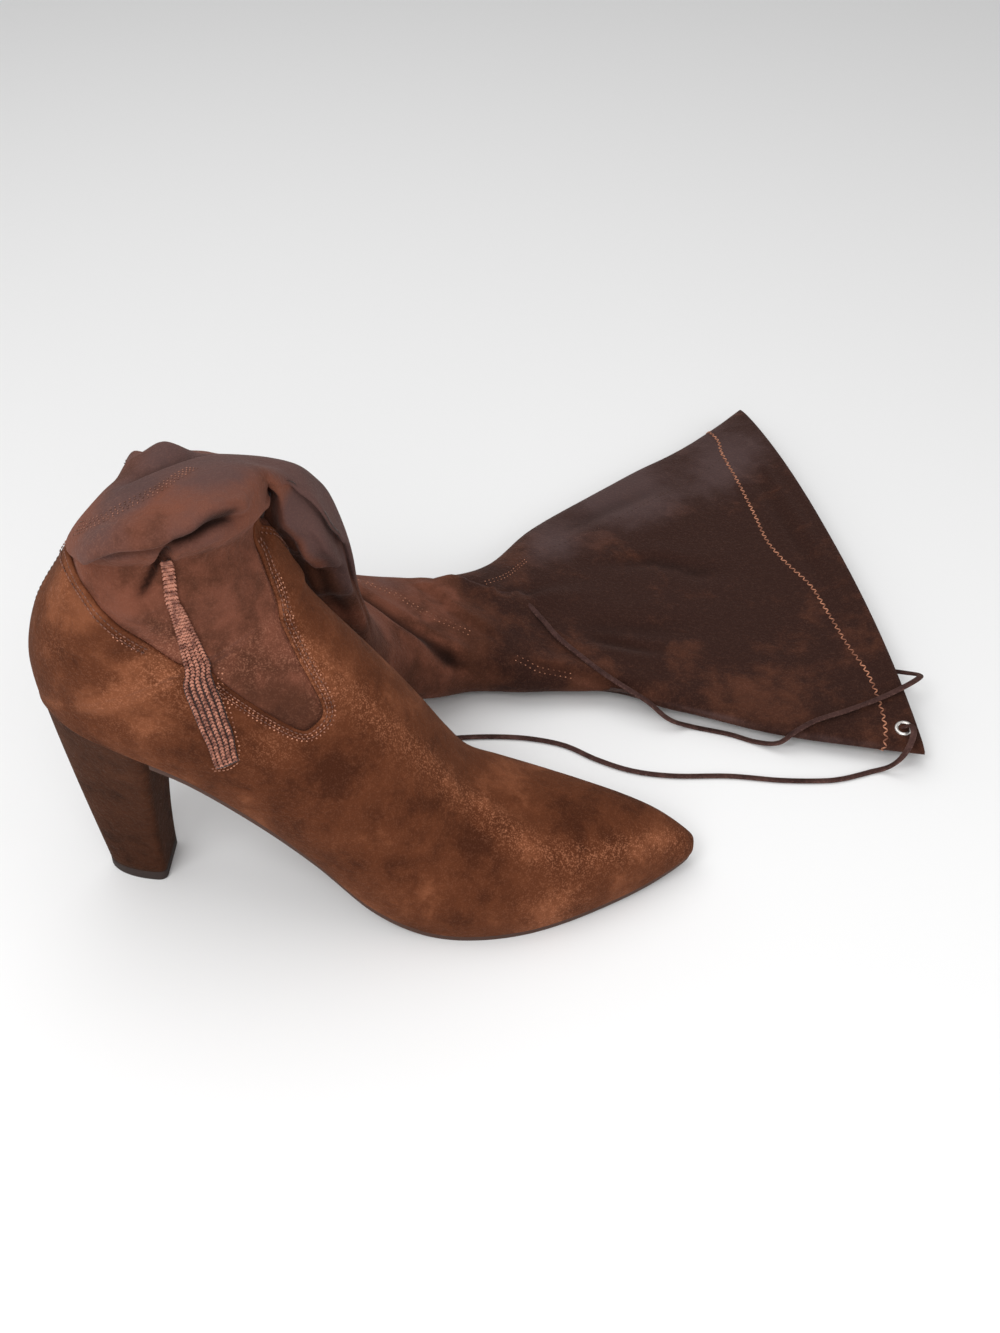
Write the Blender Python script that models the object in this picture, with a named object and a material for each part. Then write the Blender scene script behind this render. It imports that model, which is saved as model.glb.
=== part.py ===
"""Left over-the-knee boot in suede, slack, standing empty on its sole.

The toe points to +X, the outer side of the foot is +Y and the inner side, with the zip, is -Y.
The shaft is sewn from an inner and an outer panel, which meet along the front and the back.
The origin is the middle of the heel's wearing face, on the floor. The foot and the shaft are one
skin, read from two short tables of sections. A place on it is given by two numbers:
  place   runs along the boot, one unit for each section, from the toe over the ankle to the collar
  around  runs round a section: 0 at the front, -1 and 1 at the back, negative on the inner side
"""
import math
from collections import namedtuple

import bmesh
import bpy
from mathutils import Vector

MM = 0.001

# Driving sizes, in millimetres. The section tables are drawn for the sizes on the right.
FOOT_LENGTH, DRAWN_LENGTH = 236.5, 236.5      # heel back to toe tip, along the floor
BALL_WIDTH, DRAWN_WIDTH = 78.5, 78.5          # across the ball of the foot
HEEL_HEIGHT, DRAWN_HEEL = 89.0, 89.0          # floor to the back of the seat
HEEL_CENTRE_X = -9.5                          # middle of the heel's wearing face in the tables
SOLE_FLAT = 3.3                               # height of the foot's underside at the ball
WALL = 1.5                                    # suede of the foot part, with its lining
SHAFT_WALL = 1.2                              # stretch suede of the shaft
GAP = 0.3                                     # between curved pieces that touch
SEAM_GAP, PEAK_GAP = 0.9, 1.6                 # along the seam between foot part and shaft
SOLE_GAP = 0.5                                # between the foot's underside and outsole or heel
OUTSOLE_THICK = 2.8
OUTSOLE_INSET = 1.1                           # behind the outline of the foot's underside
OUTSOLE_FRONT = 0.3                           # place where it starts behind the toe's tip
INSOLE_THICK = 1.8
INSOLE_LIFT = 0.1                             # above the foot part's lower edge
INSOLE_INSET = 2.6
INSOLE_FRONT = 0.9
LIFT_THICK = 4.5
BREAST_PLACE = 11.62                          # where the heel's front face starts
BREAST_STEP = 0.05                            # from there to the outsole's end

HEEL_BASE_BACK, HEEL_BASE_FRONT = -22.0, 3.0  # heel's wearing face, in table millimetres
HEEL_BASE_HALF = 11.0
SEAT_BACK, SEAT_FRONT, SEAT_HALF = -32.0, 9.3, 25.5
SEAT_END = 16.0                               # place of the seat's backmost point
HEEL_BACK_LAW, HEEL_FRONT_LAW, HEEL_SIDE_LAW = 1.5, 2.0, 1.8  # how hollow the heel's faces are
ZIP_TAPE_THICK, ZIP_COIL_THICK = 0.7, 1.0
ZIP_SEAT = 0.45                               # tape to skin, which is slightly curved
ZIP_COIL_SHARE = 0.34                         # of the tape's width
EYELET_OUTER, EYELET_INNER = 3.9, 2.1         # flange and hole radii
EYELET_BARREL = 2.7                           # barrel's outer radius
EYELET_FLANGE = 0.7
HOLE_DEPTH = 6.0                              # of the cutter through the wall
EYELET_SEAT = 0.45                            # flange to wall, which is slightly curved
LACE_DIAMETER = 3.0
LACE_STEP = 3.0                               # tube points, in diameters

SUEDE_COLOUR = (0.16, 0.062, 0.035)
STRETCH_COLOUR = (0.115, 0.052, 0.038)
SOLE_COLOUR = (0.035, 0.02, 0.014)
LINING_COLOUR = (0.05, 0.028, 0.02)
ZIP_COLOUR = (0.23, 0.10, 0.06)
NICKEL_COLOUR = (0.62, 0.60, 0.57)
LACE_COLOUR = (0.10, 0.052, 0.046)

# Mesh fineness.
TOE_RINGS = 12                                # tip to waist
QUARTER_RINGS = 12                            # waist to the scalloped top line
SCALLOP_RINGS = 6                             # top line to the crease
SHAFT_RINGS = 27                              # crease to collar
SOLE_STATIONS = 24
SEAT_STATIONS = 9
HEEL_RINGS = 7
ZIP_STATIONS = 16
TURN_STEPS = 16                               # round an eyelet
ROUTE_STEPS = 12                              # between two points of a lace's route
NUDGE = 0.01                                  # step of place or around for measuring slopes
PANEL_EDGE_REACH, PANEL_EDGE_STEPS = 0.05, 12 # search for the edge of a panel of the shaft
SHARP_ANGLE = 40                              # degrees; flatter edges are shaded smooth
ROUNDNESS, ROUNDEST = 0.8, 8.0                # how late a foot section turns in to the sole edge

FootRow = namedtuple("FootRow", "name crown_x crown_z base_x base_z mid_y "
                                "wide_in wide_out sole_in sole_out")
FOOT_ROWS = (
    FootRow("tip",        204.6,  10.4, 204.6,  10.4, 4.0,  0.0,  0.0,  0.0,  0.0),
    FootRow("nose",       203.0,  15.0, 202.6,   7.8, 4.0,  4.8,  4.2,  4.4,  3.7),
    FootRow("toe",        191.0,  25.5, 190.0,   5.5, 3.0, 13.5, 10.5, 13.0,  9.5),
    FootRow("toe_mid",    178.0,  31.5, 175.0,   4.4, 2.0, 22.5, 18.0, 21.5, 17.0),
    FootRow("fore",       161.0,  37.0, 155.0,   3.6, 0.5, 31.5, 26.0, 30.5, 24.5),
    FootRow("fore_mid",   145.0,  41.0, 137.0,   3.2, 0.0, 37.5, 32.5, 36.5, 31.0),
    FootRow("ball",       131.0,  45.0, 119.0,   3.2, 0.0, 40.5, 36.5, 39.0, 35.0),
    FootRow("ball_back",  120.0,  49.5, 101.0,   4.8, 0.0, 40.0, 38.0, 37.5, 36.0),
    FootRow("throat",     112.0,  60.0,  83.0,  13.0, 0.0, 38.5, 38.0, 34.0, 34.0),
    FootRow("waist",      103.5,  74.5,  63.0,  31.0, 0.0, 36.0, 36.5, 28.5, 31.0),
    FootRow("instep",      94.0,  89.0,  44.0,  48.5, 0.0, 34.0, 35.0, 26.5, 28.5),
    FootRow("seat_front",  84.0, 103.0,  22.0,  67.5, 0.0, 32.0, 33.5, 26.5, 27.0),
    FootRow("seat",        74.5, 116.0,   0.0,  79.5, 0.0, 31.0, 32.5, 25.5, 25.5),
    FootRow("seat_mid",    68.5, 124.5, -15.0,  85.0, 0.0, 30.5, 31.5, 21.5, 21.5),
    FootRow("seat_back",   64.0, 130.5, -26.0,  89.0, 0.0, 30.0, 31.0, 14.0, 14.0),
    FootRow("heel_curve",  62.0, 133.0, -30.5,  91.0, 0.0, 30.0, 31.0,  7.0,  7.0),
    FootRow("heel_back",   60.5, 135.5, -32.0,  95.0, 0.0, 30.0, 31.0,  0.0,  0.0),
    FootRow("counter",     58.0, 140.0, -31.5, 110.0, 0.0, 30.0, 31.0,  0.0,  0.0),
    FootRow("ankle_low",   55.0, 146.0, -26.0, 127.0, 0.0, 31.0, 31.5,  0.0,  0.0),
    FootRow("ankle",       52.5, 151.0, -17.0, 141.0, 0.0, 31.5, 32.0,  0.0,  0.0),
)
# The shaft: "out" is the middle of the inner-leg skin, which comes to lie on top, "in" the middle of
# the outer-leg skin, which comes to lie on the floor. The section's wide axis has the half width,
# compass angle and rise given. Bow pushes the middle of a section towards the collar.
ShaftRow = namedtuple("ShaftRow", "name out_x out_y out_z in_x in_y in_z "
                                  "half_width angle rise square bow")
SHAFT_ROWS = (
    ShaftRow("crease",      21, -28.5, 162.0,  21, 32.0, 149.0,  31.0,   0.0,  8, 2.2, 0),
    ShaftRow("roll_edge",   23, -33.0, 168.0,  23, 32.5, 150.5,  32.0,   0.0,  9, 2.2, 0),
    ShaftRow("roll_in",     25, -30.0, 175.5,  25, 33.2, 151.2,  30.0,   0.0,  9, 2.2, 0),
    ShaftRow("roll_up",     29, -14.0, 180.0,  28, 34.0, 151.7,  27.5,   0.0,  8, 2.2, 0),
    ShaftRow("roll_crown",  33,   6.0, 176.5,  31, 35.0, 151.8,  27.5,  -3.0,  7, 2.3, 0),
    ShaftRow("roll_top",    34,  25.0, 167.5,  32, 36.2, 151.3,  31.0,  -6.0,  4, 2.6, 0),
    ShaftRow("roll_over",   35,  41.0, 157.5,  32, 37.5, 147.5,  36.0, -10.0, -1, 2.9, 0),
    ShaftRow("fall",        35,  53.0, 142.0,  32, 39.0, 139.0,  40.0, -14.0, -5, 2.9, 0),
    ShaftRow("fall_mid",    38,  60.5, 119.0,  34, 42.0, 116.5,  41.0, -18.0, -7, 2.7, 0),
    ShaftRow("fall_low",    46,  73.0,  92.0,  42, 53.0,  88.0,  38.0, -26.0, -8, 2.4, 0),
    ShaftRow("drop",        60,  94.0,  66.0,  54, 70.0,  50.0,  33.0, -42.0, -8, 2.3, 0),
    ShaftRow("landing",     80, 112.0,  46.0,  74, 98.0,  16.0,  32.0, -60.0, -4, 2.5, 0),
    ShaftRow("neck",       103, 124.0,  34.0, 103, 124.0,  0.0,  34.0, -76.0,  0, 2.8, 0),
    ShaftRow("neck_end",   126, 134.0,  28.0, 126, 134.0,  0.0,  41.0, -80.0,  0, 2.8, 0),
    ShaftRow("flare",      150, 155.0,  21.0, 150, 155.0,  0.0,  60.5, -80.0,  0, 2.5, 0),
    ShaftRow("flare_mid",  186, 169.5,  17.0, 186, 169.5,  0.0,  84.5, -80.0,  0, 2.4, 1),
    ShaftRow("flare_end",  231, 183.5,  14.0, 231, 183.5,  0.0, 112.5, -81.0,  0, 2.3, 3),
    ShaftRow("hem",        260, 194.0,  15.0, 262, 194.0,  0.0, 131.0, -80.5,  0, 2.3, 6),
    ShaftRow("collar",     278, 202.0,  17.0, 285, 203.0,  0.0, 144.5, -80.5,  0, 2.3, 8),
)
ANKLE = len(FOOT_ROWS) - 1                    # place of the last foot section
COLLAR = ANKLE + len(SHAFT_ROWS)              # place of the collar's edge

# The scalloped top line of the foot part: the place where each column of the mesh crosses it.
# The columns stand closest where the line is steep, beside the zip and beside the instep's tongue.
TopLineRow = namedtuple("TopLineRow", "column place")
TOP_LINE = (
    TopLineRow(-1.00, 19.7), TopLineRow(-0.88, 19.6), TopLineRow(-0.76, 19.4),
    TopLineRow(-0.66, 19.2), TopLineRow(-0.59, 18.8), TopLineRow(-0.53, 18.2),
    TopLineRow(-0.485, 17.4), TopLineRow(-0.45, 16.2), TopLineRow(-0.415, 14.9),
    TopLineRow(-0.395, 13.2), TopLineRow(-0.378, 11.8), TopLineRow(-0.35, 11.1),
    TopLineRow(-0.31, 11.0), TopLineRow(-0.26, 11.1), TopLineRow(-0.222, 11.6),
    TopLineRow(-0.19, 12.4), TopLineRow(-0.157, 13.7), TopLineRow(-0.125, 15.5),
    TopLineRow(-0.09, 17.4), TopLineRow(-0.045, 19.2), TopLineRow(0.00, 19.9),
    TopLineRow(0.06, 19.2), TopLineRow(0.12, 17.7), TopLineRow(0.18, 15.9),
    TopLineRow(0.24, 13.9), TopLineRow(0.30, 12.1), TopLineRow(0.36, 11.0),
    TopLineRow(0.42, 10.5), TopLineRow(0.48, 10.6), TopLineRow(0.53, 11.5),
    TopLineRow(0.57, 13.3), TopLineRow(0.62, 15.5), TopLineRow(0.69, 17.5),
    TopLineRow(0.78, 18.8), TopLineRow(0.89, 19.5), TopLineRow(1.00, 19.7),
)
LEVEL_PLACE = 9.8                             # foot rings are level below this place
CREASE_PLACE = 20.4                           # shaft rings are level above this place
LEAN = 0.05                                   # how far the columns beside the zip lean forward
LEAN_COLUMN, LEAN_SPREAD = -0.40, 0.15
LEAN_START, LEAN_RISE = 11.0, 3.5


def catmull_rom(before, start, end, after, share):
    """Smooth value between start and end."""
    return 0.5 * (2 * start + (end - before) * share
                  + (2 * before - 5 * start + 4 * end - after) * share ** 2
                  + (3 * start - before - 3 * end + after) * share ** 3)


def read_rows(rows, place):
    """Section at a place in a table, carried straight on past either end."""
    last = len(rows) - 1
    first = min(max(int(math.floor(place)), 0), last - 1)
    share = place - first
    start, end = rows[first], rows[first + 1]
    if share < 0 or share > 1:
        values = [a + (b - a) * share for a, b in zip(start[1:], end[1:])]
    else:
        before = rows[first - 1] if first > 0 else None
        after = rows[first + 2] if first + 2 <= last else None
        values = []
        for column in range(1, len(start)):
            a, b = start[column], end[column]
            left = before[column] if before else 2 * a - b
            right = after[column] if after else 2 * b - a
            values.append(catmull_rom(left, a, b, right, share))
    return type(start)(start.name, *values)


def turn_limit(row, side):
    """Half width and the angle from crown to sole edge, on one side of a foot section."""
    wide, sole = (row.wide_in, row.sole_in) if side < 0 else (row.wide_out, row.sole_out)
    wide = max(wide, 1e-6)
    sole = min(max(sole, 0.0), wide)
    return wide, math.pi - math.asin(sole / wide)


def foot_point(place, around, depth=0.0):
    """Point of the foot's skin, or at a depth under it, in table millimetres."""
    row = foot_row(place)
    if depth:
        height = math.hypot(row.base_x - row.crown_x, row.base_z - row.crown_z)
        inset_x = (row.base_x - row.crown_x) * depth / height
        inset_z = (row.base_z - row.crown_z) * depth / height
        row = row._replace(crown_x=row.crown_x + inset_x, crown_z=row.crown_z + inset_z,
                           base_x=row.base_x - inset_x, base_z=row.base_z - inset_z,
                           wide_in=row.wide_in - depth, wide_out=row.wide_out - depth)
    side = -1 if around < 0 else 1
    wide, limit = turn_limit(row, side)
    share = abs(around)
    missing = math.pi - limit
    power = min(ROUNDEST, ROUNDNESS * math.pi / max(missing, 1e-6))
    angle = math.pi * share - missing * share ** power
    drop = (1 - math.cos(angle)) / (1 - math.cos(limit))
    return Vector((row.crown_x + (row.base_x - row.crown_x) * drop,
                   row.mid_y + side * wide * math.sin(angle),
                   row.crown_z + (row.base_z - row.crown_z) * drop))


def wide_axis(row):
    """Unit vector along the wide axis of a shaft section."""
    angle, rise = math.radians(row.angle), math.radians(row.rise)
    return Vector((math.cos(angle) * math.cos(rise), math.sin(angle) * math.cos(rise),
                   math.sin(rise)))


def shaft_point(place, around, depth=0.0):
    """Point of the shaft's skin, or under it; place counts from the shaft's first section."""
    row = read_rows(SHAFT_ROWS, place)
    outer = Vector((row.out_x, row.out_y, row.out_z))
    inner = Vector((row.in_x, row.in_y, row.in_z))
    inset = (inner - outer).normalized() * depth
    outer, inner = outer + inset, inner - inset
    row = row._replace(half_width=row.half_width - depth)
    axis = wide_axis(row)
    cosine, sine = math.cos(math.pi * around), math.sin(math.pi * around)
    power = 2 / row.square
    along = math.copysign(abs(cosine) ** power, cosine)
    across = math.copysign(abs(sine) ** power, sine)
    point = (outer + inner) / 2 + axis * (row.half_width * along) + (inner - outer) / 2 * across
    if row.bow > 0:
        point += axis.cross(inner - outer).normalized() * (row.bow * (1 - cosine ** 2))
    return point


def skin_point(place, around, depth=0.0):
    """Point of the whole boot's outer skin, or at a depth in millimetres under it, in metres."""
    if place <= ANKLE:
        point = foot_point(place, around, depth)
    elif place >= ANKLE + 1:
        point = shaft_point(place - ANKLE - 1, around, depth)
    else:
        share = place - ANKLE
        mix = share * share * (3 - 2 * share)
        start = foot_point(place, around, depth)
        point = start.lerp(shaft_point(share - 1, around, depth), mix)
    point.z = max(point.z, depth)
    return scaled(point)


def scaled(point):
    """Table millimetres to metres, at the driving sizes, with the origin under the heel."""
    return Vector(((point.x - HEEL_CENTRE_X) * FOOT_LENGTH / DRAWN_LENGTH,
                   point.y * BALL_WIDTH / DRAWN_WIDTH,
                   point.z * HEEL_HEIGHT / DRAWN_HEEL)) * MM


def foot_row(place):
    """Foot section at a place, its sole never lower than the tread allows."""
    row = read_rows(FOOT_ROWS, place)
    return row._replace(base_z=max(row.base_z, SOLE_FLAT))


def column_around(column, place):
    """Where a column of the mesh stands at a place."""
    bump = max(0.0, 1 - ((column - LEAN_COLUMN) / LEAN_SPREAD) ** 2) ** 2
    rise = min(max((place - LEAN_START) / LEAN_RISE, 0.0), 1.0)
    return column + LEAN * bump * rise


def spread(start, end, steps):
    """Even steps from start to end, both included."""
    return [start + (end - start) * step / steps for step in range(steps + 1)]


def skin_normal(place, around, depth=0.0):
    """Unit vector out of the skin."""
    along = skin_point(place + NUDGE, around, depth) - skin_point(place - NUDGE, around, depth)
    across = skin_point(place, around + NUDGE, depth) - skin_point(place, around - NUDGE, depth)
    return across.cross(along).normalized()


def on_skin(place, around, height):
    """Point at a height in metres above the skin."""
    return skin_point(place, around) + skin_normal(place, around) * height


def paint(obj, name, colour, roughness, metallic=0.0):
    """Give an object its own material."""
    material = bpy.data.materials.new(name)
    material.use_nodes = True
    shader = material.node_tree.nodes["Principled BSDF"]
    shader.inputs["Base Color"].default_value = (*colour, 1.0)
    shader.inputs["Roughness"].default_value = roughness
    shader.inputs["Metallic"].default_value = metallic
    obj.data.materials.append(material)


def make_object(name, bm):
    """Turn a bmesh into a smooth-shaded object."""
    mesh = bpy.data.meshes.new(name)
    bm.to_mesh(mesh)
    bm.free()
    mesh.shade_smooth()
    mesh.set_sharp_from_angle(angle=math.radians(SHARP_ANGLE))
    obj = bpy.data.objects.new(name, mesh)
    bpy.context.scene.collection.objects.link(obj)
    return obj


def grid_mesh(rows):
    """A bmesh grid whose vertices stand at the given rows of points."""
    bm = bmesh.new()
    across, along = len(rows[0]), len(rows)
    bmesh.ops.create_grid(bm, x_segments=across - 1, y_segments=along - 1, size=1.0)
    for vertex in bm.verts:
        column = round((vertex.co.x + 1) / 2 * (across - 1))
        row = round((vertex.co.y + 1) / 2 * (along - 1))
        vertex.co = rows[row][column]
    bmesh.ops.remove_doubles(bm, verts=bm.verts, dist=0.01 * MM)
    bmesh.ops.recalc_face_normals(bm, faces=bm.faces)
    return bm


def add_wall(obj, thickness, offset):
    """Give a skin its wall: offset -1 grows it inwards and 1 outwards."""
    wall = obj.modifiers.new("wall", "SOLIDIFY")
    wall.thickness = thickness * MM
    wall.offset = offset
    wall.use_rim = True


def make_upper_foot():
    """Foot part of the upper, open underneath and along the scalloped top line."""
    rows = [[skin_point(place, row.column) for row in TOP_LINE]
            for place in spread(0.0, LEVEL_PLACE, TOE_RINGS)]
    for share in spread(0.0, 1.0, QUARTER_RINGS)[1:]:
        ring = []
        for row in TOP_LINE:
            place = LEVEL_PLACE + (row.place - LEVEL_PLACE) * share
            ring.append(skin_point(place, column_around(row.column, place)))
        rows.append(ring)
    obj = make_object("upper_foot", grid_mesh(rows))
    add_wall(obj, WALL, -1)
    paint(obj, "chestnut_suede", SUEDE_COLOUR, 0.85)


def seam_step(index):
    """Units of place that leave the seam's gap at a column of the top line, more at its peak."""
    row = TOP_LINE[index]
    others = [other for other in TOP_LINE[max(index - 1, 0):index + 2] if other is not row]
    slope = max(abs((other.place - row.place) / (other.column - row.column)) for other in others)
    peak = all(other.place < row.place for other in others)
    gap = PEAK_GAP if peak else SEAM_GAP
    along = skin_point(row.place + NUDGE, row.column) - skin_point(row.place - NUDGE, row.column)
    across = skin_point(row.place, row.column + NUDGE) - skin_point(row.place, row.column - NUDGE)
    return gap * MM * 2 * NUDGE * math.hypot(1 / along.length, slope / across.length)


def panel_edge(place, edge, side):
    """Where a panel of the shaft ends, half the panels' gap beside the front or back line."""
    line = skin_point(place, edge, SHAFT_WALL)
    near, far = 0.0, PANEL_EDGE_REACH
    for _ in range(PANEL_EDGE_STEPS):
        middle = (near + far) / 2
        gap = (skin_point(place, edge + middle * side, SHAFT_WALL) - line).length
        near, far = (middle, far) if gap < GAP / 2 * MM else (near, middle)
    return edge + far * side


def make_shaft_panel(name, side):
    """Inner (-1) or outer (1) panel of the stretch sleeve, from the scalloped seam to the collar."""
    indices = [index for index, row in enumerate(TOP_LINE) if row.column * side >= 0]
    columns = [TOP_LINE[index].column for index in indices]
    starts = [TOP_LINE[index].place + seam_step(index) for index in indices]
    runs = [[start + (CREASE_PLACE - start) * share for start in starts]
            for share in spread(0.0, 1.0, SCALLOP_RINGS)[:-1]]
    runs += [[place] * len(columns) for place in spread(CREASE_PLACE, COLLAR, SHAFT_RINGS)]
    rings = []
    for places in runs:
        spots = [(place, column_around(column, place)) for place, column in zip(places, columns)]
        spots[0] = (places[0], panel_edge(places[0], columns[0], 1))
        spots[-1] = (places[-1], panel_edge(places[-1], columns[-1], -1))
        inside = [skin_point(place, around, SHAFT_WALL) for place, around in spots]
        outside = [point + skin_normal(place, around, SHAFT_WALL) * SHAFT_WALL * MM
                   for point, (place, around) in zip(inside, spots)]
        rings.append(inside + outside[::-1])
    obj = loft(name, rings)
    paint(obj, name + "_stretch_suede", STRETCH_COLOUR, 0.9)
    return obj


def feather_point(place, side, inset, height):
    """Point beside the feather line, moved in from the outline and up from the seat."""
    row = foot_row(place)
    here = foot_edge(place, side)
    ahead, behind = foot_edge(place + NUDGE, side), foot_edge(place - NUDGE, side)
    run = Vector((ahead.x - behind.x, ahead.y - behind.y, 0.0))
    inward = Vector((-run.y, run.x, 0.0)).normalized() * side
    moved = here + inward * inset
    if (moved.y - row.mid_y) * side < 0:
        moved.y = row.mid_y
    moved.z = row.base_z + height
    return scaled(moved)


def foot_edge(place, side):
    """Point of the feather line, in table millimetres."""
    row = foot_row(place)
    sole = row.sole_in if side < 0 else row.sole_out
    return Vector((row.base_x, row.mid_y + side * max(sole, 0.0), row.base_z))


def make_sole_plate(name, places, inset, height, thickness):
    """Plate that follows the underside of the foot; its top is at the given height."""
    rings = []
    for place in places:
        corners = ((-1, height), (1, height), (1, height - thickness), (-1, height - thickness))
        rings.append([feather_point(place, side, inset, level) for side, level in corners])
    return loft(name, rings)


def heel_outline_at(top, share):
    """Point of the heel's side: share runs from 0 at the seat to 1 at the wearing face."""
    run = (top.x - SEAT_BACK) / (SEAT_FRONT - SEAT_BACK)
    base_x = HEEL_BASE_BACK + (HEEL_BASE_FRONT - HEEL_BASE_BACK) * run
    base_y = top.y * HEEL_BASE_HALF / SEAT_HALF
    back_law, front_law = share ** HEEL_BACK_LAW, 1 - (1 - share) ** HEEL_FRONT_LAW
    mix_x = back_law * (1 - run) + front_law * run
    mix_y = 1 - (1 - share) ** HEEL_SIDE_LAW
    base_z = LIFT_THICK + GAP
    return Vector((top.x + (base_x - top.x) * mix_x,
                   top.y + (base_y - top.y) * mix_y,
                   top.z + (base_z - top.z) * share))


def seat_outline(inset):
    """Closed outline of the seat under the heel, from the breast round the back."""
    places = spread(BREAST_PLACE, SEAT_END, SEAT_STATIONS)
    inner = [feather_point(place, -1, inset, -SOLE_GAP) for place in places]
    outer = [feather_point(place, 1, inset, -SOLE_GAP) for place in places[:-1]]
    return [table_point(point) for point in inner + outer[::-1]]


def table_point(point):
    """Metres back to table millimetres."""
    return Vector((point.x / MM * DRAWN_LENGTH / FOOT_LENGTH + HEEL_CENTRE_X,
                   point.y / MM * DRAWN_WIDTH / BALL_WIDTH,
                   point.z / MM * DRAWN_HEEL / HEEL_HEIGHT))


def loft(name, rings):
    """Closed solid through rings of points; each end is filled by rungs from side to side."""
    bm = bmesh.new()
    count = len(rings[0])
    loops = [[bm.verts.new(point) for point in ring] for ring in rings]
    for lower, upper in zip(loops, loops[1:]):
        for index in range(count):
            after = (index + 1) % count
            bm.faces.new((lower[index], lower[after], upper[after], upper[index]))
    for loop in (loops[0], loops[-1]):
        for index in range((count - 1) // 2):
            rung = [loop[index], loop[index + 1], loop[count - 2 - index], loop[count - 1 - index]]
            bm.faces.new(list(dict.fromkeys(rung)))
    bmesh.ops.triangulate(bm, faces=bm.faces[:])
    bmesh.ops.recalc_face_normals(bm, faces=bm.faces)
    return make_object(name, bm)


def make_heel():
    """Tapered block heel, covered in suede."""
    outline = seat_outline(OUTSOLE_INSET)
    rings = [[scaled(heel_outline_at(point, share)) for point in outline]
             for share in spread(0.0, 1.0, HEEL_RINGS)]
    obj = loft("heel_block", rings)
    paint(obj, "heel_suede", SUEDE_COLOUR, 0.85)


def make_top_lift():
    """Rubber lift on the heel's wearing face, with its flat face on the floor."""
    outline = [heel_outline_at(point, 1.0) for point in seat_outline(OUTSOLE_INSET)]
    rings = []
    for height in (0.0, LIFT_THICK):
        rings.append([scaled(Vector((point.x, point.y, height))) for point in outline])
    obj = loft("top_lift", rings)
    paint(obj, "lift_rubber", SOLE_COLOUR, 0.8)


def make_outsole():
    """Thin outsole from the toe to the heel's breast, flat on the floor under the ball."""
    places = spread(OUTSOLE_FRONT, BREAST_PLACE - BREAST_STEP, SOLE_STATIONS)
    obj = make_sole_plate("outsole", places, OUTSOLE_INSET, -SOLE_GAP, OUTSOLE_THICK)
    paint(obj, "sole_leather", SOLE_COLOUR, 0.7)


def make_insole():
    """Insole inside the foot part, from the toe to the back of the seat."""
    places = spread(INSOLE_FRONT, BREAST_PLACE, SOLE_STATIONS)
    places += spread(BREAST_PLACE, SEAT_END, SEAT_STATIONS)[1:-1]
    height = INSOLE_THICK + INSOLE_LIFT
    obj = make_sole_plate("insole", places, INSOLE_INSET, height, INSOLE_THICK)
    paint(obj, "insole_lining", LINING_COLOUR, 0.8)


# The zip's middle line up the inner ankle, and the width of its tape.
ZipRow = namedtuple("ZipRow", "name place around width")
ZIP_ROWS = (
    ZipRow("bottom", 11.0, -0.615, 9.0), ZipRow("low", 11.8, -0.505, 9.0),
    ZipRow("bend", 12.9, -0.435, 8.5), ZipRow("middle", 14.4, -0.398, 7.5),
    ZipRow("high", 16.0, -0.380, 6.0), ZipRow("seam", 17.4, -0.376, 4.8),
    ZipRow("upper", 18.4, -0.388, 4.0), ZipRow("top", 19.2, -0.412, 3.4),
)


def make_zip_strip(name, share, rise, thickness):
    """Strip along the zip's line, a share of the tape's width, at a rise above the skin."""
    rows = []
    for step in spread(0.0, len(ZIP_ROWS) - 1.0, ZIP_STATIONS):
        row = read_rows(ZIP_ROWS, step)
        unit = (skin_point(row.place, row.around + NUDGE)
                - skin_point(row.place, row.around - NUDGE)).length / (2 * NUDGE)
        half = row.width * share / 2 * MM / unit
        rows.append([on_skin(row.place, row.around + half * side, rise * MM)
                     for side in (-1.0, 0.0, 1.0)])
    obj = make_object(name, grid_mesh(rows))
    add_wall(obj, thickness, 1)
    return obj


def make_zip():
    """Closed zip: the woven tape and the raised coil along its middle."""
    tape = make_zip_strip("zip_tape", 1.0, ZIP_SEAT, ZIP_TAPE_THICK)
    paint(tape, "zip_tape_weave", ZIP_COLOUR, 0.7)
    coil_rise = ZIP_SEAT + ZIP_TAPE_THICK + GAP
    coil = make_zip_strip("zip_coil", ZIP_COIL_SHARE, coil_rise, ZIP_COIL_THICK)
    paint(coil, "zip_coil_nylon", ZIP_COLOUR, 0.5)


# Eyelets of the drawstring, in the hem beside the collar's lower corner.
EyeletRow = namedtuple("EyeletRow", "name place around")
EYELET_ROWS = (
    EyeletRow("eyelet_near", 37.72, -0.120),
    EyeletRow("eyelet_far", 37.62, 0.240),
)


def eyelet_frame(row):
    """Matrix at the middle of the wall, its Z pointing out of the skin."""
    normal = skin_normal(row.place, row.around, SHAFT_WALL)
    inside = skin_point(row.place, row.around, SHAFT_WALL)
    middle = inside + normal * (SHAFT_WALL / 2 * MM)
    turn = normal.to_track_quat("Z", "Y").to_matrix().to_4x4()
    turn.translation = middle
    return turn


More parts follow.
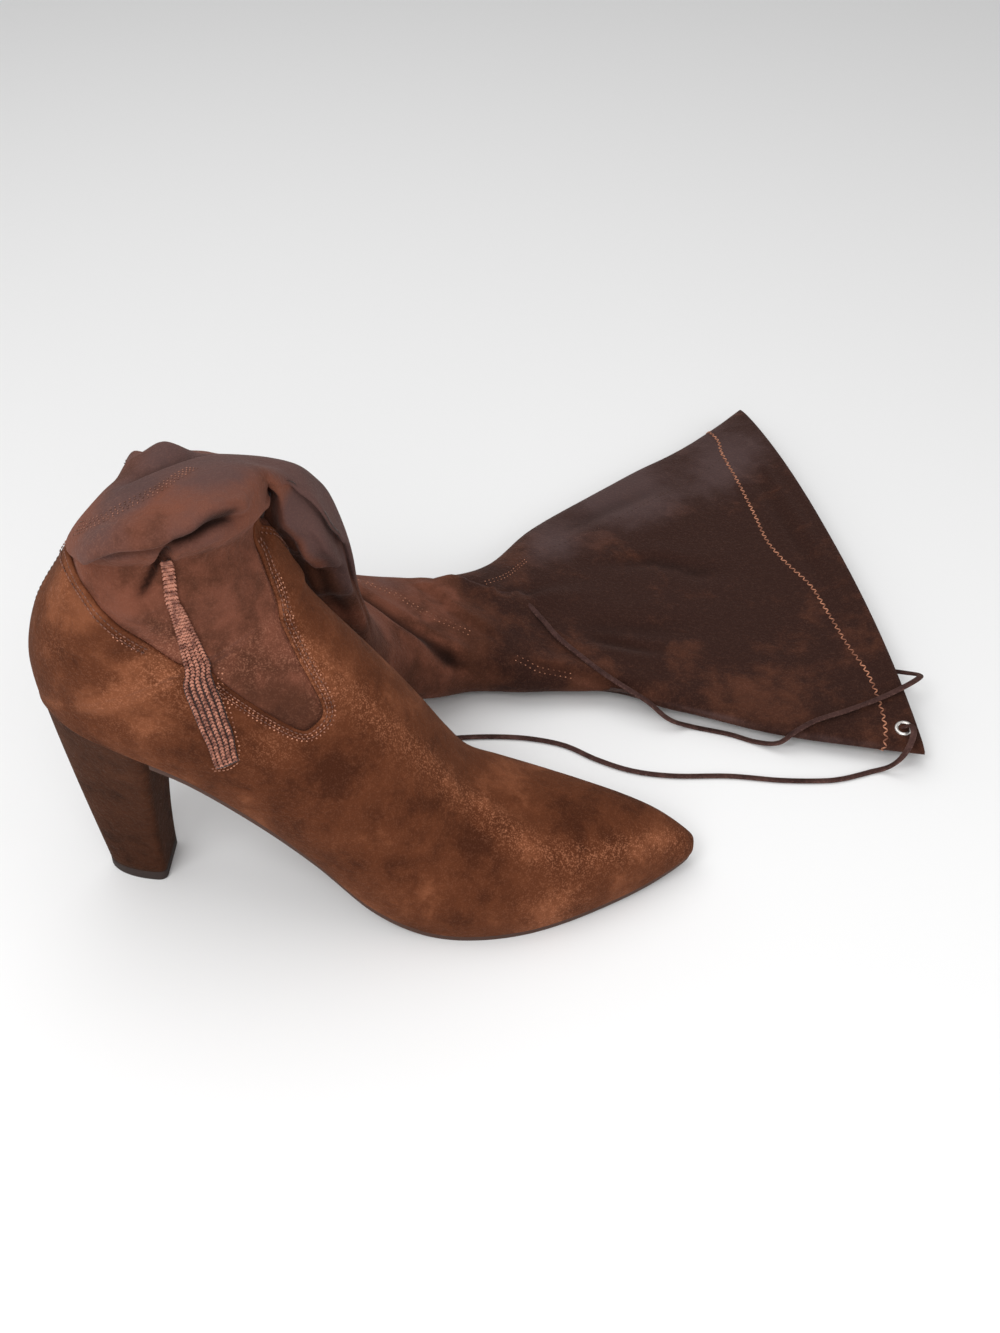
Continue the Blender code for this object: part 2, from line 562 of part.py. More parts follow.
def make_eyelet(row, shaft):
    """Two-flange eyelet, with a clear hole through the shaft's wall for its barrel."""
    frame = eyelet_frame(row)
    inside = SHAFT_WALL / 2 + EYELET_SEAT
    outside = inside + EYELET_FLANGE
    profile = (
        (EYELET_INNER, -outside), (EYELET_OUTER, -outside), (EYELET_OUTER, -inside),
        (EYELET_BARREL, -inside), (EYELET_BARREL, inside), (EYELET_OUTER, inside),
        (EYELET_OUTER, outside), (EYELET_INNER, outside),
    )
    rings = []
    for turn in spread(0.0, 2 * math.pi, TURN_STEPS)[:-1]:
        around = Vector((math.cos(turn), math.sin(turn), 0.0))
        rings.append([frame @ ((around * radius + Vector((0.0, 0.0, height))) * MM)
                      for radius, height in profile])
    bm = bmesh.new()
    loops = [[bm.verts.new(point) for point in ring] for ring in rings]
    for start, end in zip(loops, loops[1:] + loops[:1]):
        for index in range(len(profile)):
            after = (index + 1) % len(profile)
            bm.faces.new((start[index], start[after], end[after], end[index]))
    bmesh.ops.recalc_face_normals(bm, faces=bm.faces)
    obj = make_object(row.name, bm)
    paint(obj, row.name + "_nickel", NICKEL_COLOUR, 0.3, 1.0)

    bm = bmesh.new()
    bmesh.ops.create_cone(bm, cap_ends=True, segments=TURN_STEPS,
                          radius1=(EYELET_BARREL + GAP) * MM, radius2=(EYELET_BARREL + GAP) * MM,
                          depth=HOLE_DEPTH * MM, matrix=frame)
    cutter = make_object(row.name + "_hole", bm)
    cutter.hide_render = True
    cutter.display_type = "WIRE"
    hole = shaft.modifiers.new(row.name + "_hole", "BOOLEAN")
    hole.operation = "DIFFERENCE"
    hole.solver = "EXACT"
    hole.object = cutter


# The drawstring's two free ends, as points of the cord's middle line in table millimetres.
# The first comes up through the near eyelet, drops over the collar's corner and lies on the floor.
LACE_NEAR_ROUTE = (
    (298.2, 69.6, 15.4), (299.4, 67.8, 17.3), (299.6, 63.5, 17.4), (297.6, 58.8, 14.2),
    (294.6, 56.6, 9.5), (291.2, 56.6, 5.0), (287.5, 57.2, 2.2), (283.5, 56.4, 1.6),
    (279.5, 54.8, 1.6), (271.0, 51.8, 1.6), (262.0, 50.3, 1.6), (245.0, 50.2, 1.6),
    (224.0, 52.2, 1.6), (201.0, 51.7, 1.6), (184.0, 54.3, 1.6), (169.5, 60.7, 1.6),
    (156.0, 69.2, 1.6), (142.0, 73.2, 1.6), (128.0, 74.3, 1.6), (113.0, 73.5, 1.6),
    (98.0, 71.0, 1.6), (84.0, 66.0, 1.6),
)
# The second comes out of the mouth, round the collar's edge and back across the shaft.
LACE_FAR_ROUTE = (
    (289.0, 122.0, 6.4), (298.0, 117.0, 7.4), (306.5, 112.0, 9.8), (310.5, 105.5, 14.0),
    (308.5, 98.5, 18.0), (301.5, 92.0, 18.8), (291.0, 86.5, 17.0), (276.0, 80.5, 14.6),
    (262.0, 75.5, 12.9), (253.0, 71.0, 10.5), (246.0, 69.5, 5.0), (237.0, 73.5, 1.9),
    (226.0, 78.5, 1.6), (211.0, 82.5, 1.9), (200.5, 82.0, 6.4), (191.5, 86.5, 12.0),
    (181.0, 93.0, 15.2), (171.2, 100.0, 17.7), (161.9, 108.0, 20.3), (152.5, 117.0, 23.0),
    (144.9, 128.0, 25.2), (138.2, 136.0, 27.2), (130.5, 139.5, 29.2), (123.0, 138.0, 31.0),
)


def lace_points(route):
    """Even points of a smooth curve through a route, in metres."""
    dense = []
    for step in spread(0.0, len(route) - 1.0, ROUTE_STEPS * (len(route) - 1)):
        first = min(int(step), len(route) - 2)
        share = step - first
        before = route[max(first - 1, 0)]
        after = route[min(first + 2, len(route) - 1)]
        values = zip(before, route[first], route[first + 1], after)
        dense.append(scaled(Vector([catmull_rom(*four, share) for four in values])))
    total = sum((end - start).length for start, end in zip(dense, dense[1:]))
    count = max(2, round(total / (LACE_STEP * LACE_DIAMETER * MM)))
    points, done, wanted = [dense[0]], 0.0, total / count
    for start, end in zip(dense, dense[1:]):
        length = (end - start).length
        while length > 0 and done + length >= wanted * len(points) - 1e-9 and len(points) < count:
            points.append(start.lerp(end, (wanted * len(points) - done) / length))
        done += length
    points.append(dense[-1])
    return points


def make_lace(name, route):
    """One free end of the drawstring, as a tube."""
    curve = bpy.data.curves.new(name, "CURVE")
    curve.dimensions = "3D"
    curve.bevel_depth = LACE_DIAMETER / 2 * MM
    curve.bevel_resolution = 2
    curve.use_fill_caps = True
    points = lace_points(route)
    spline = curve.splines.new("POLY")
    spline.points.add(len(points) - 1)
    for target, point in zip(spline.points, points):
        target.co = (*point, 1.0)
    obj = bpy.data.objects.new(name, curve)
    bpy.context.scene.collection.objects.link(obj)
    paint(obj, name + "_cord", LACE_COLOUR, 0.7)


def main():
    """Build every piece of the boot."""
    for obj in list(bpy.data.objects):
        bpy.data.objects.remove(obj, do_unlink=True)
    make_outsole()
    make_heel()
    make_top_lift()
    make_insole()
    make_upper_foot()
    inner_panel = make_shaft_panel("shaft_inner", -1)
    outer_panel = make_shaft_panel("shaft_outer", 1)
    make_zip()
    for row in EYELET_ROWS:
        make_eyelet(row, inner_panel if row.around < 0 else outer_panel)
    make_lace("lace_near", LACE_NEAR_ROUTE)
    make_lace("lace_far", LACE_FAR_ROUTE)


main()
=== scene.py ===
"""Looks of the slack left over-the-knee boot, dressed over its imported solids.

The boot's skin is read from the same sections as its solids. A spot on it is given by two numbers:
  place   along the boot, one unit for each section, from the toe over the ankle to the collar
  around  round a section: 0 at the front, -1 and 1 at the back, negative on the inner side
Lengths are millimetres until a mesh is written, which is in metres.
"""
import logging
import math
from dataclasses import dataclass
from enum import Enum
from functools import cached_property
from typing import Callable, NamedTuple, Optional, Sequence

import bmesh
import bpy
import numpy as np
from mathutils import Matrix, Vector


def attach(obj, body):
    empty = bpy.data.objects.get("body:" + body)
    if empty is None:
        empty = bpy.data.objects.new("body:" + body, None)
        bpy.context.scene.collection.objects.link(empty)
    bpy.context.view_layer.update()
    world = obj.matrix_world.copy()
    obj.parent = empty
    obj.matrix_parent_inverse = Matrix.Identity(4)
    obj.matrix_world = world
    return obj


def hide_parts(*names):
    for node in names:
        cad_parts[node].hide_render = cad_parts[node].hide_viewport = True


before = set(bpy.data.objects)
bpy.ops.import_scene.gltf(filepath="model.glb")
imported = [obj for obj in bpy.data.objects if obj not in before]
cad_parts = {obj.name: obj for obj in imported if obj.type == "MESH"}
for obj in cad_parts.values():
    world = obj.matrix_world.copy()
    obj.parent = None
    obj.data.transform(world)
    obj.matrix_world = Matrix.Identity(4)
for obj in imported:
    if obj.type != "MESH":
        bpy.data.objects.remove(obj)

LOG = logging.getLogger("boot")
MM = 0.001
BODY = "root"
FINISH_ENDING = "_finish"     # sets a finish's name apart from the solids' materials

Array = np.ndarray
Route = Sequence[tuple[float, float]]          # pairs of place and around
Colour = tuple[float, float, float]
Triple = tuple[float, float, float]
Stitch = tuple[Array, Array, Array]            # its middle, direction and outward normal
Shaped = tuple[Array, dict[str, Array]]        # points, and painted values by their layer

HEEL_CENTRE_X = -9.5          # middle of the heel's wearing face in the tables
SOLE_FLAT = 3.3               # height of the foot's underside at the ball
WALL = 1.5                    # of the foot part
SHAFT_WALL = 1.2
SOLE_GAP = 0.5                # between the foot's underside and the outsole
OUTSOLE_THICK = 2.8
OUTSOLE_INSET = 1.1
LIFT_THICK = 4.5
BREAST_PLACE = 11.62          # where the heel's front face meets the foot
SEAT_END = 16.0
HEEL_BASE_BACK, HEEL_BASE_FRONT, HEEL_BASE_HALF = -22.0, 3.0, 11.0     # its foot, in the tables
SEAT_BACK, SEAT_FRONT, SEAT_HALF = -32.0, 9.3, 25.5                    # its seat
HEEL_BACK_LAW, HEEL_FRONT_LAW, HEEL_SIDE_LAW = 1.5, 2.0, 1.8     # powers of the heel's taper
ROUNDNESS, ROUNDEST = 0.8, 8.0     # of the turn from the foot's side to its underside
NUDGE = 0.01                  # places to either side over which a slope is measured
TINY = 1e-9                   # a length that counts as none
THIN = 1e-6                   # the least that a section may measure, in millimetres or radians
MERGE_WITHIN = 0.01           # millimetres within which a mesh's vertices are joined


class FootRow(NamedTuple):
    """Section of the foot, from the crown down to the sole's edge."""

    name: str
    crown_x: float
    crown_z: float
    base_x: float
    base_z: float
    mid_y: float
    wide_in: float
    wide_out: float
    sole_in: float
    sole_out: float


class ShaftRow(NamedTuple):
    """Section of the shaft: out lies on top, in on the floor, the wide axis between them."""

    name: str
    out_x: float
    out_y: float
    out_z: float
    in_x: float
    in_y: float
    in_z: float
    half_width: float
    angle: float
    rise: float
    square: float
    bow: float


class TopLineRow(NamedTuple):
    """Where a column of the mesh crosses the scalloped top line of the foot part."""

    column: float
    place: float


FOOT_ROWS = (
    FootRow("tip",        204.6,  10.4, 204.6,  10.4, 4.0,  0.0,  0.0,  0.0,  0.0),
    FootRow("nose",       203.0,  15.0, 202.6,   7.8, 4.0,  4.8,  4.2,  4.4,  3.7),
    FootRow("toe",        191.0,  25.5, 190.0,   5.5, 3.0, 13.5, 10.5, 13.0,  9.5),
    FootRow("toe_mid",    178.0,  31.5, 175.0,   4.4, 2.0, 22.5, 18.0, 21.5, 17.0),
    FootRow("fore",       161.0,  37.0, 155.0,   3.6, 0.5, 31.5, 26.0, 30.5, 24.5),
    FootRow("fore_mid",   145.0,  41.0, 137.0,   3.2, 0.0, 37.5, 32.5, 36.5, 31.0),
    FootRow("ball",       131.0,  45.0, 119.0,   3.2, 0.0, 40.5, 36.5, 39.0, 35.0),
    FootRow("ball_back",  120.0,  49.5, 101.0,   4.8, 0.0, 40.0, 38.0, 37.5, 36.0),
    FootRow("throat",     112.0,  60.0,  83.0,  13.0, 0.0, 38.5, 38.0, 34.0, 34.0),
    FootRow("waist",      103.5,  74.5,  63.0,  31.0, 0.0, 36.0, 36.5, 28.5, 31.0),
    FootRow("instep",      94.0,  89.0,  44.0,  48.5, 0.0, 34.0, 35.0, 26.5, 28.5),
    FootRow("seat_front",  84.0, 103.0,  22.0,  67.5, 0.0, 32.0, 33.5, 26.5, 27.0),
    FootRow("seat",        74.5, 116.0,   0.0,  79.5, 0.0, 31.0, 32.5, 25.5, 25.5),
    FootRow("seat_mid",    68.5, 124.5, -15.0,  85.0, 0.0, 30.5, 31.5, 21.5, 21.5),
    FootRow("seat_back",   64.0, 130.5, -26.0,  89.0, 0.0, 30.0, 31.0, 14.0, 14.0),
    FootRow("heel_curve",  62.0, 133.0, -30.5,  91.0, 0.0, 30.0, 31.0,  7.0,  7.0),
    FootRow("heel_back",   60.5, 135.5, -32.0,  95.0, 0.0, 30.0, 31.0,  0.0,  0.0),
    FootRow("counter",     58.0, 140.0, -31.5, 110.0, 0.0, 30.0, 31.0,  0.0,  0.0),
    FootRow("ankle_low",   55.0, 146.0, -26.0, 127.0, 0.0, 31.0, 31.5,  0.0,  0.0),
    FootRow("ankle",       52.5, 151.0, -17.0, 141.0, 0.0, 31.5, 32.0,  0.0,  0.0),
)
SHAFT_ROWS = (
    ShaftRow("crease",      21, -28.5, 162.0,  21, 32.0, 149.0,  31.0,   0.0,  8, 2.2, 0),
    ShaftRow("roll_edge",   23, -33.0, 168.0,  23, 32.5, 150.5,  32.0,   0.0,  9, 2.2, 0),
    ShaftRow("roll_in",     25, -30.0, 175.5,  25, 33.2, 151.2,  30.0,   0.0,  9, 2.2, 0),
    ShaftRow("roll_up",     29, -14.0, 180.0,  28, 34.0, 151.7,  27.5,   0.0,  8, 2.2, 0),
    ShaftRow("roll_crown",  33,   6.0, 176.5,  31, 35.0, 151.8,  27.5,  -3.0,  7, 2.3, 0),
    ShaftRow("roll_top",    34,  25.0, 167.5,  32, 36.2, 151.3,  31.0,  -6.0,  4, 2.6, 0),
    ShaftRow("roll_over",   35,  41.0, 157.5,  32, 37.5, 147.5,  36.0, -10.0, -1, 2.9, 0),
    ShaftRow("fall",        35,  53.0, 142.0,  32, 39.0, 139.0,  40.0, -14.0, -5, 2.9, 0),
    ShaftRow("fall_mid",    38,  60.5, 119.0,  34, 42.0, 116.5,  41.0, -18.0, -7, 2.7, 0),
    ShaftRow("fall_low",    46,  73.0,  92.0,  42, 53.0,  88.0,  38.0, -26.0, -8, 2.4, 0),
    ShaftRow("drop",        60,  94.0,  66.0,  54, 70.0,  50.0,  33.0, -42.0, -8, 2.3, 0),
    ShaftRow("landing",     80, 112.0,  46.0,  74, 98.0,  16.0,  32.0, -60.0, -4, 2.5, 0),
    ShaftRow("neck",       103, 124.0,  34.0, 103, 124.0,  0.0,  34.0, -76.0,  0, 2.8, 0),
    ShaftRow("neck_end",   126, 134.0,  28.0, 126, 134.0,  0.0,  41.0, -80.0,  0, 2.8, 0),
    ShaftRow("flare",      150, 155.0,  21.0, 150, 155.0,  0.0,  60.5, -80.0,  0, 2.5, 0),
    ShaftRow("flare_mid",  186, 169.5,  17.0, 186, 169.5,  0.0,  84.5, -80.0,  0, 2.4, 1),
    ShaftRow("flare_end",  231, 183.5,  14.0, 231, 183.5,  0.0, 112.5, -81.0,  0, 2.3, 3),
    ShaftRow("hem",        260, 194.0,  15.0, 262, 194.0,  0.0, 131.0, -80.5,  0, 2.3, 6),
    ShaftRow("collar",     278, 202.0,  17.0, 285, 203.0,  0.0, 144.5, -80.5,  0, 2.3, 8),
)
ANKLE = len(FOOT_ROWS) - 1
COLLAR = ANKLE + len(SHAFT_ROWS)
TOP_LINE = tuple(TopLineRow(*pair) for pair in (
    (-1.0, 19.7), (-0.88, 19.6), (-0.76, 19.4), (-0.66, 19.2), (-0.59, 18.8), (-0.53, 18.2),
    (-0.485, 17.4), (-0.45, 16.2), (-0.415, 14.9), (-0.395, 13.2), (-0.378, 11.8), (-0.35, 11.1),
    (-0.31, 11.0), (-0.26, 11.1), (-0.222, 11.6), (-0.19, 12.4), (-0.157, 13.7), (-0.125, 15.5),
    (-0.09, 17.4), (-0.045, 19.2), (0.0, 19.9), (0.06, 19.2), (0.12, 17.7), (0.18, 15.9),
    (0.24, 13.9), (0.3, 12.1), (0.36, 11.0), (0.42, 10.5), (0.48, 10.6), (0.53, 11.5),
    (0.57, 13.3), (0.62, 15.5), (0.69, 17.5), (0.78, 18.8), (0.89, 19.5), (1.0, 19.7),
))
# The drawstring's free ends, as points of the cord's middle line in table millimetres.
LACE_NEAR_ROUTE = (
    (298.2, 69.6, 15.4), (299.4, 67.8, 17.3), (299.6, 63.5, 17.4), (297.6, 58.8, 14.2),
    (294.6, 56.6, 9.5), (291.2, 56.6, 5.0), (287.5, 57.2, 2.2), (283.5, 56.4, 1.6),
    (279.5, 54.8, 1.6), (271.0, 51.8, 1.6), (262.0, 50.3, 1.6), (245.0, 50.2, 1.6),
    (224.0, 52.2, 1.6), (201.0, 51.7, 1.6), (184.0, 54.3, 1.6), (169.5, 60.7, 1.6),
    (156.0, 69.2, 1.6), (142.0, 73.2, 1.6), (128.0, 74.3, 1.6), (113.0, 73.5, 1.6),
    (98.0, 71.0, 1.6), (84.0, 66.0, 1.6),
)
# The second comes out of the mouth, round the collar's edge and back across the shaft.
LACE_FAR_ROUTE = (
    (289.0, 122.0, 6.4), (298.0, 117.0, 7.4), (306.5, 112.0, 9.8), (310.5, 105.5, 14.0),
    (308.5, 98.5, 18.0), (301.5, 92.0, 18.8), (291.0, 86.5, 17.0), (276.0, 80.5, 14.6),
    (262.0, 75.5, 12.9), (253.0, 71.0, 10.5), (246.0, 69.5, 5.0), (237.0, 73.5, 1.9),
    (226.0, 78.5, 1.6), (211.0, 82.5, 1.9), (200.5, 82.0, 6.4), (191.5, 86.5, 12.0),
    (181.0, 93.0, 15.2), (171.2, 100.0, 17.7), (161.9, 108.0, 20.3), (152.5, 117.0, 23.0),
    (144.9, 128.0, 25.2), (138.2, 136.0, 27.2), (130.5, 139.5, 29.2), (123.0, 138.0, 31.0),
)
LEVEL_PLACE = 9.8             # foot rings are level below this place
CREASE_PLACE = 20.4           # shaft rings are level above this place
LEAN, LEAN_COLUMN, LEAN_SPREAD = 0.05, -0.40, 0.15     # of the columns beside the zip
LEAN_START, LEAN_RISE = 11.0, 3.5     # place where they begin to lean, and places until full
WALL_START = 16.0             # place past which the skin counts as grown out from its inside
LEAD_HEIGHTS = (-5.0, -2.0, 1.2)     # of the near lace over the middle of its eyelet


def column_around(column: Array, place: Array) -> Array:
    """Where a column of the mesh stands at a place; those beside the zip lean forward.

    Args:
        column: Columns of the mesh, -1 to 1.
        place: Places along the skin.

    Returns:
        Where each stands around the skin.
    """
    bump = np.maximum(0.0, 1 - ((column - LEAN_COLUMN) / LEAN_SPREAD) ** 2) ** 2
    rise = np.clip((place - LEAN_START) / LEAN_RISE, 0.0, 1.0)
    return column + LEAN * bump * rise


def smooth_step(value: Array) -> Array:
    """Eases a share from 0 to 1, level at both ends."""
    share = np.clip(value, 0.0, 1.0)
    return share * share * (3 - 2 * share)


def catmull_rom(before: Array, start: Array, end: Array, after: Array, share: Array) -> Array:
    """Smooth value between start and end.

    Args:
        before: Value one row before the start.
        start: Value at share 0.
        end: Value at share 1.
        after: Value one row past the end.
        share: Where to read, from 0 to 1.

    Returns:
        The value at that share.
    """
    return 0.5 * (2 * start + (end - before) * share
                  + (2 * before - 5 * start + 4 * end - after) * share ** 2
                  + (3 * start - before - 3 * end + after) * share ** 3)


class Table:
    """Rows of numbers, read smoothly between them."""

    def __init__(self, rows: Sequence[Sequence[float]]) -> None:
        """Keeps the rows' numbers.

        Args:
            rows: One sequence of numbers for each row.
        """
        self.values = np.array(rows, float)

    def read(self, place: Array) -> Array:
        """Values at places counted in rows, carried straight on past either end.

        Args:
            place: Where to read, an array.

        Returns:
            One line of values for each place.
        """
        last = len(self.values) - 1
        first = np.clip(np.floor(place).astype(int), 0, last - 1)
        share = (place - first)[:, None]
        start, end = self.values[first], self.values[first + 1]
        has_before = (first > 0)[:, None]
        has_after = (first + 2 <= last)[:, None]
        before = np.where(has_before, self.values[np.maximum(first - 1, 0)], 2 * start - end)
        after = np.where(has_after, self.values[np.minimum(first + 2, last)], 2 * end - start)
        curved = catmull_rom(before, start, end, after, share)
        straight = start + (end - start) * share
        return np.where((share < 0) | (share > 1), straight, curved)

    def between(self, fineness: int) -> Array:
        """Values all along the table, at that many steps from each row to the next."""
        last = len(self.values) - 1
        return self.read(np.linspace(0, last, fineness * last + 1))


FOOT_TABLE = Table([row[1:] for row in FOOT_ROWS])
SHAFT_TABLE = Table([row[1:] for row in SHAFT_ROWS])
TOP_TABLE = Table(TOP_LINE)


def foot_points(place: Array, around: Array, depth: Array) -> Array:
    """Points of the foot's skin, or at a depth under it.

    Args:
        place: Places along the boot.
        around: Places round the section.
        depth: Depth under the skin, in millimetres.

    Returns:
        Points in table millimetres.
    """
    (crown_x, crown_z, base_x, base_z, mid_y,
     wide_in, wide_out, sole_in, sole_out) = FOOT_TABLE.read(place).T
    base_z = np.maximum(base_z, SOLE_FLAT)
    height = np.maximum(np.hypot(base_x - crown_x, base_z - crown_z), THIN)
    inset_x = (base_x - crown_x) * depth / height
    inset_z = (base_z - crown_z) * depth / height
    crown_x, crown_z = crown_x + inset_x, crown_z + inset_z
    base_x, base_z = base_x - inset_x, base_z - inset_z
    side = np.where(around < 0, -1.0, 1.0)
    wide = np.maximum(np.where(around < 0, wide_in, wide_out) - depth, THIN)
    sole = np.clip(np.where(around < 0, sole_in, sole_out), 0.0, wide)
    missing = np.arcsin(sole / wide)
    power = np.minimum(ROUNDEST, ROUNDNESS * math.pi / np.maximum(missing, THIN))
    share = np.abs(around)
    angle = math.pi * share - missing * share ** power
    drop = (1 - np.cos(angle)) / (1 - np.cos(math.pi - missing))
    return np.stack([crown_x + (base_x - crown_x) * drop,
                     mid_y + side * wide * np.sin(angle),
                     crown_z + (base_z - crown_z) * drop], axis=1)


def unit(vectors: Array) -> Array:
    """Vectors brought to length 1; one without length becomes the toe's direction."""
    length = np.linalg.norm(vectors, axis=1, keepdims=True)
    return np.where(length > TINY, vectors / np.maximum(length, TINY), [[1.0, 0.0, 0.0]])


def shaft_points(place: Array, around: Array, depth: Array) -> Array:
    """Points of the shaft's skin, or under it, with place counted from its first section.

    Args:
        place: Places along the shaft.
        around: Places round the section.
        depth: Depth under the skin, in millimetres.

    Returns:
        Points in table millimetres.
    """
    rows = SHAFT_TABLE.read(place)
    upper, lower = rows[:, 0:3], rows[:, 3:6]
    half_width, angle, rise, square, bow = rows[:, 6:].T
    inset = unit(lower - upper) * depth[:, None]
    upper, lower = upper + inset, lower - inset
    angle, rise = np.radians(angle), np.radians(rise)
    axis = np.stack([np.cos(angle) * np.cos(rise), np.sin(angle) * np.cos(rise),
                     np.sin(rise)], axis=1)
    cosine, sine = np.cos(math.pi * around), np.sin(math.pi * around)
    power = 2 / square
    along = np.copysign(np.abs(cosine) ** power, cosine)
    across = np.copysign(np.abs(sine) ** power, sine)
    points = (upper + lower) / 2 + axis * ((half_width - depth) * along)[:, None]
    points += (lower - upper) / 2 * across[:, None]
    push = unit(np.cross(axis, lower - upper))
    return points + push * (np.maximum(bow, 0.0) * (1 - cosine ** 2))[:, None]


def skin_points(place: Array, around: Array, depth: float | Array = 0.0) -> Array:
    """Points of the whole boot's skin, or at a depth under it.

    Args:
        place: Places along the boot.
        around: Places round the section.
        depth: Depth under the skin, in millimetres.

    Returns:
        Points in millimetres from the boot's origin.
    """
    depths = np.broadcast_to(np.asarray(depth, float), place.shape)
    mix = smooth_step(place - ANKLE)[:, None]
    foot = foot_points(np.minimum(place, ANKLE + 1.0), around, depths)
    shaft = shaft_points(np.maximum(place, float(ANKLE)) - ANKLE - 1, around, depths)
    points = foot + (shaft - foot) * mix
    points[:, 2] = np.maximum(points[:, 2], depths)
    points[:, 0] -= HEEL_CENTRE_X
    return points


@dataclass(frozen=True)
class Spots:
    """Spots on the plain skin, or at a depth under it, and how the skin runs there.

    Attributes:
        place: Places along the boot.
        around: Places round the section.
        depth: Depth under the skin, in millimetres.
    """

    place: Array
    around: Array
    depth: float | Array = 0.0

    def moved(self, place: float, around: float) -> Array:
        """Points of the skin where the spots would be if they were moved that far."""
        return skin_points(self.place + place, self.around + around, self.depth)

    @cached_property
    def slopes(self) -> tuple[Array, Array]:
        """Vectors in millimetres for one unit of place, and for one unit of around."""
        return ((self.moved(NUDGE, 0.0) - self.moved(-NUDGE, 0.0)) / (2 * NUDGE),
                (self.moved(0.0, NUDGE) - self.moved(0.0, -NUDGE)) / (2 * NUDGE))

    @cached_property
    def along(self) -> Array:
        """Millimetres for one unit of place at each spot."""
        return np.linalg.norm(self.slopes[0], axis=1)

    @cached_property
    def across(self) -> Array:
        """Millimetres for one unit of around at each spot."""
        return np.linalg.norm(self.slopes[1], axis=1)


class FoldForm(Enum):
    """Cross-section of a fold in the skin."""

    TROUGH = "trough"
    RIDGE = "ridge"
    LIP = "lip"


@dataclass(frozen=True)
class Fold:
    """One crease or ridge of the slack skin, drawn along the boot.

    Attributes:
        form: Its cross-section.
        route: Its line.
        depth: Its height or depth, in millimetres.
        width: Half of its width, in millimetres.
        fade: Share of its length over which each end dies away.
        side: Which side of a lip stands high, seen from outside: 1 is right of its line, -1 left.
        SHOULDER_AT: Where a trough's raised shoulder stands, in widths, with its own width
            and height.
        LIP_EDGE: Width of a lip's step, in widths, with how far its high side reaches and how
            deep its low side is.
    """

    form: FoldForm
    route: Route
    depth: float
    width: float
    fade: float = 0.3
    side: int = 1

    SHOULDER_AT, SHOULDER_WIDTH, SHOULDER_HEIGHT = 1.9, 0.9, 0.22
    LIP_EDGE, LIP_REACH, LIP_HOLLOW = 0.5, 2.2, 0.35

    def height(self, spots: Spots) -> Array:
        """Height in millimetres that the fold adds to the skin at some spots.

        Args:
            spots: Where to read it.

        Returns:
            A height for each spot.
        """
        distance, share = route_distance(self.route, spots)
        ends = smooth_step(share / self.fade) * smooth_step((1 - share) / self.fade)
        near = np.abs(distance) / self.width
        bell = np.exp(-near ** 2)
        if self.form is FoldForm.TROUGH:
            shoulder = np.exp(-((near - self.SHOULDER_AT) / self.SHOULDER_WIDTH) ** 2)
            profile = -bell + self.SHOULDER_HEIGHT * shoulder
        elif self.form is FoldForm.RIDGE:
            profile = bell
        else:
            high = distance * self.side
            edge = smooth_step(0.5 + high / (self.LIP_EDGE * self.width))
            profile = edge * np.exp(-(np.maximum(high, 0) / (self.LIP_REACH * self.width)) ** 2)
            profile -= self.LIP_HOLLOW * (1 - edge) * np.exp(-(high / self.width) ** 2)
        return self.depth * profile * ends


def route_distance(route: Route, spots: Spots, fineness: int = 6) -> tuple[Array, Array]:
    """Distance over the skin from a route, and how far along the route that is.

    Args:
        route: The line.
        spots: Where to read it.
        fineness: Straight pieces between two points of the route.

    Returns:
        Signed distances in millimetres, positive on the route's right, and shares of the route.
    """
    line = Table(route).between(fineness)
    around = spots.around - 2 * np.round((spots.around - line[:, 1].mean()) / 2)
    best = np.full(around.shape, np.inf)
    signed, share = np.zeros(around.shape), np.zeros(around.shape)
    for index, (start, end) in enumerate(zip(line, line[1:])):
        run_p, run_a = (end[0] - start[0]) * spots.along, (end[1] - start[1]) * spots.across
        off_p, off_a = (spots.place - start[0]) * spots.along, (around - start[1]) * spots.across
        step = (off_p * run_p + off_a * run_a) / np.maximum(run_p ** 2 + run_a ** 2, TINY)
        step = np.clip(step, 0, 1)
        gap_p, gap_a = off_p - step * run_p, off_a - step * run_a
        distance = np.hypot(gap_p, gap_a)
        closer = distance < best
        turn = np.sign(run_p * gap_a - run_a * gap_p)
        best = np.where(closer, distance, best)
        signed = np.where(closer, distance * turn, signed)
        share = np.where(closer, (index + step) / (len(line) - 1), share)
    return signed, share


@dataclass(frozen=True)
class Patch:
    """Soft round patch on the skin: a dent, or a patch of a painted layer such as painted light or
    shade.

    Attributes:
        place: Its middle along the boot.
        around: Its middle round the section.
        radius: Its radius in millimetres.
        amount: How strong it is.
    """

    place: float
    around: float
    radius: float
    amount: float

    def value(self, spots: Spots) -> Array:
        """Strength of the patch at each spot.

        Args:
            spots: Spots on the skin.

        Returns:
            One value for each spot.
        """
        turn = spots.around - self.around
        turn = turn - 2 * np.round(turn / 2)
        gap = np.hypot((spots.place - self.place) * spots.along, turn * spots.across)
        return self.amount * np.exp(-(gap / self.radius) ** 2)


@dataclass(frozen=True)
class Sag:
    """Slack skin that hangs away from its plain place.

    Attributes:
        place: Its middle along the boot.
        around: Its middle round the section.
        radius: Its radius in millimetres.
        move: How far its middle is moved, in millimetres.
    """

    place: float
    around: float
    radius: float
    move: Triple

    def shift(self, spots: Spots) -> Array:
        """Movement of each spot, in millimetres."""
        share = Patch(self.place, self.around, self.radius, 1.0).value(spots)
        return share[:, None] * np.array(self.move)


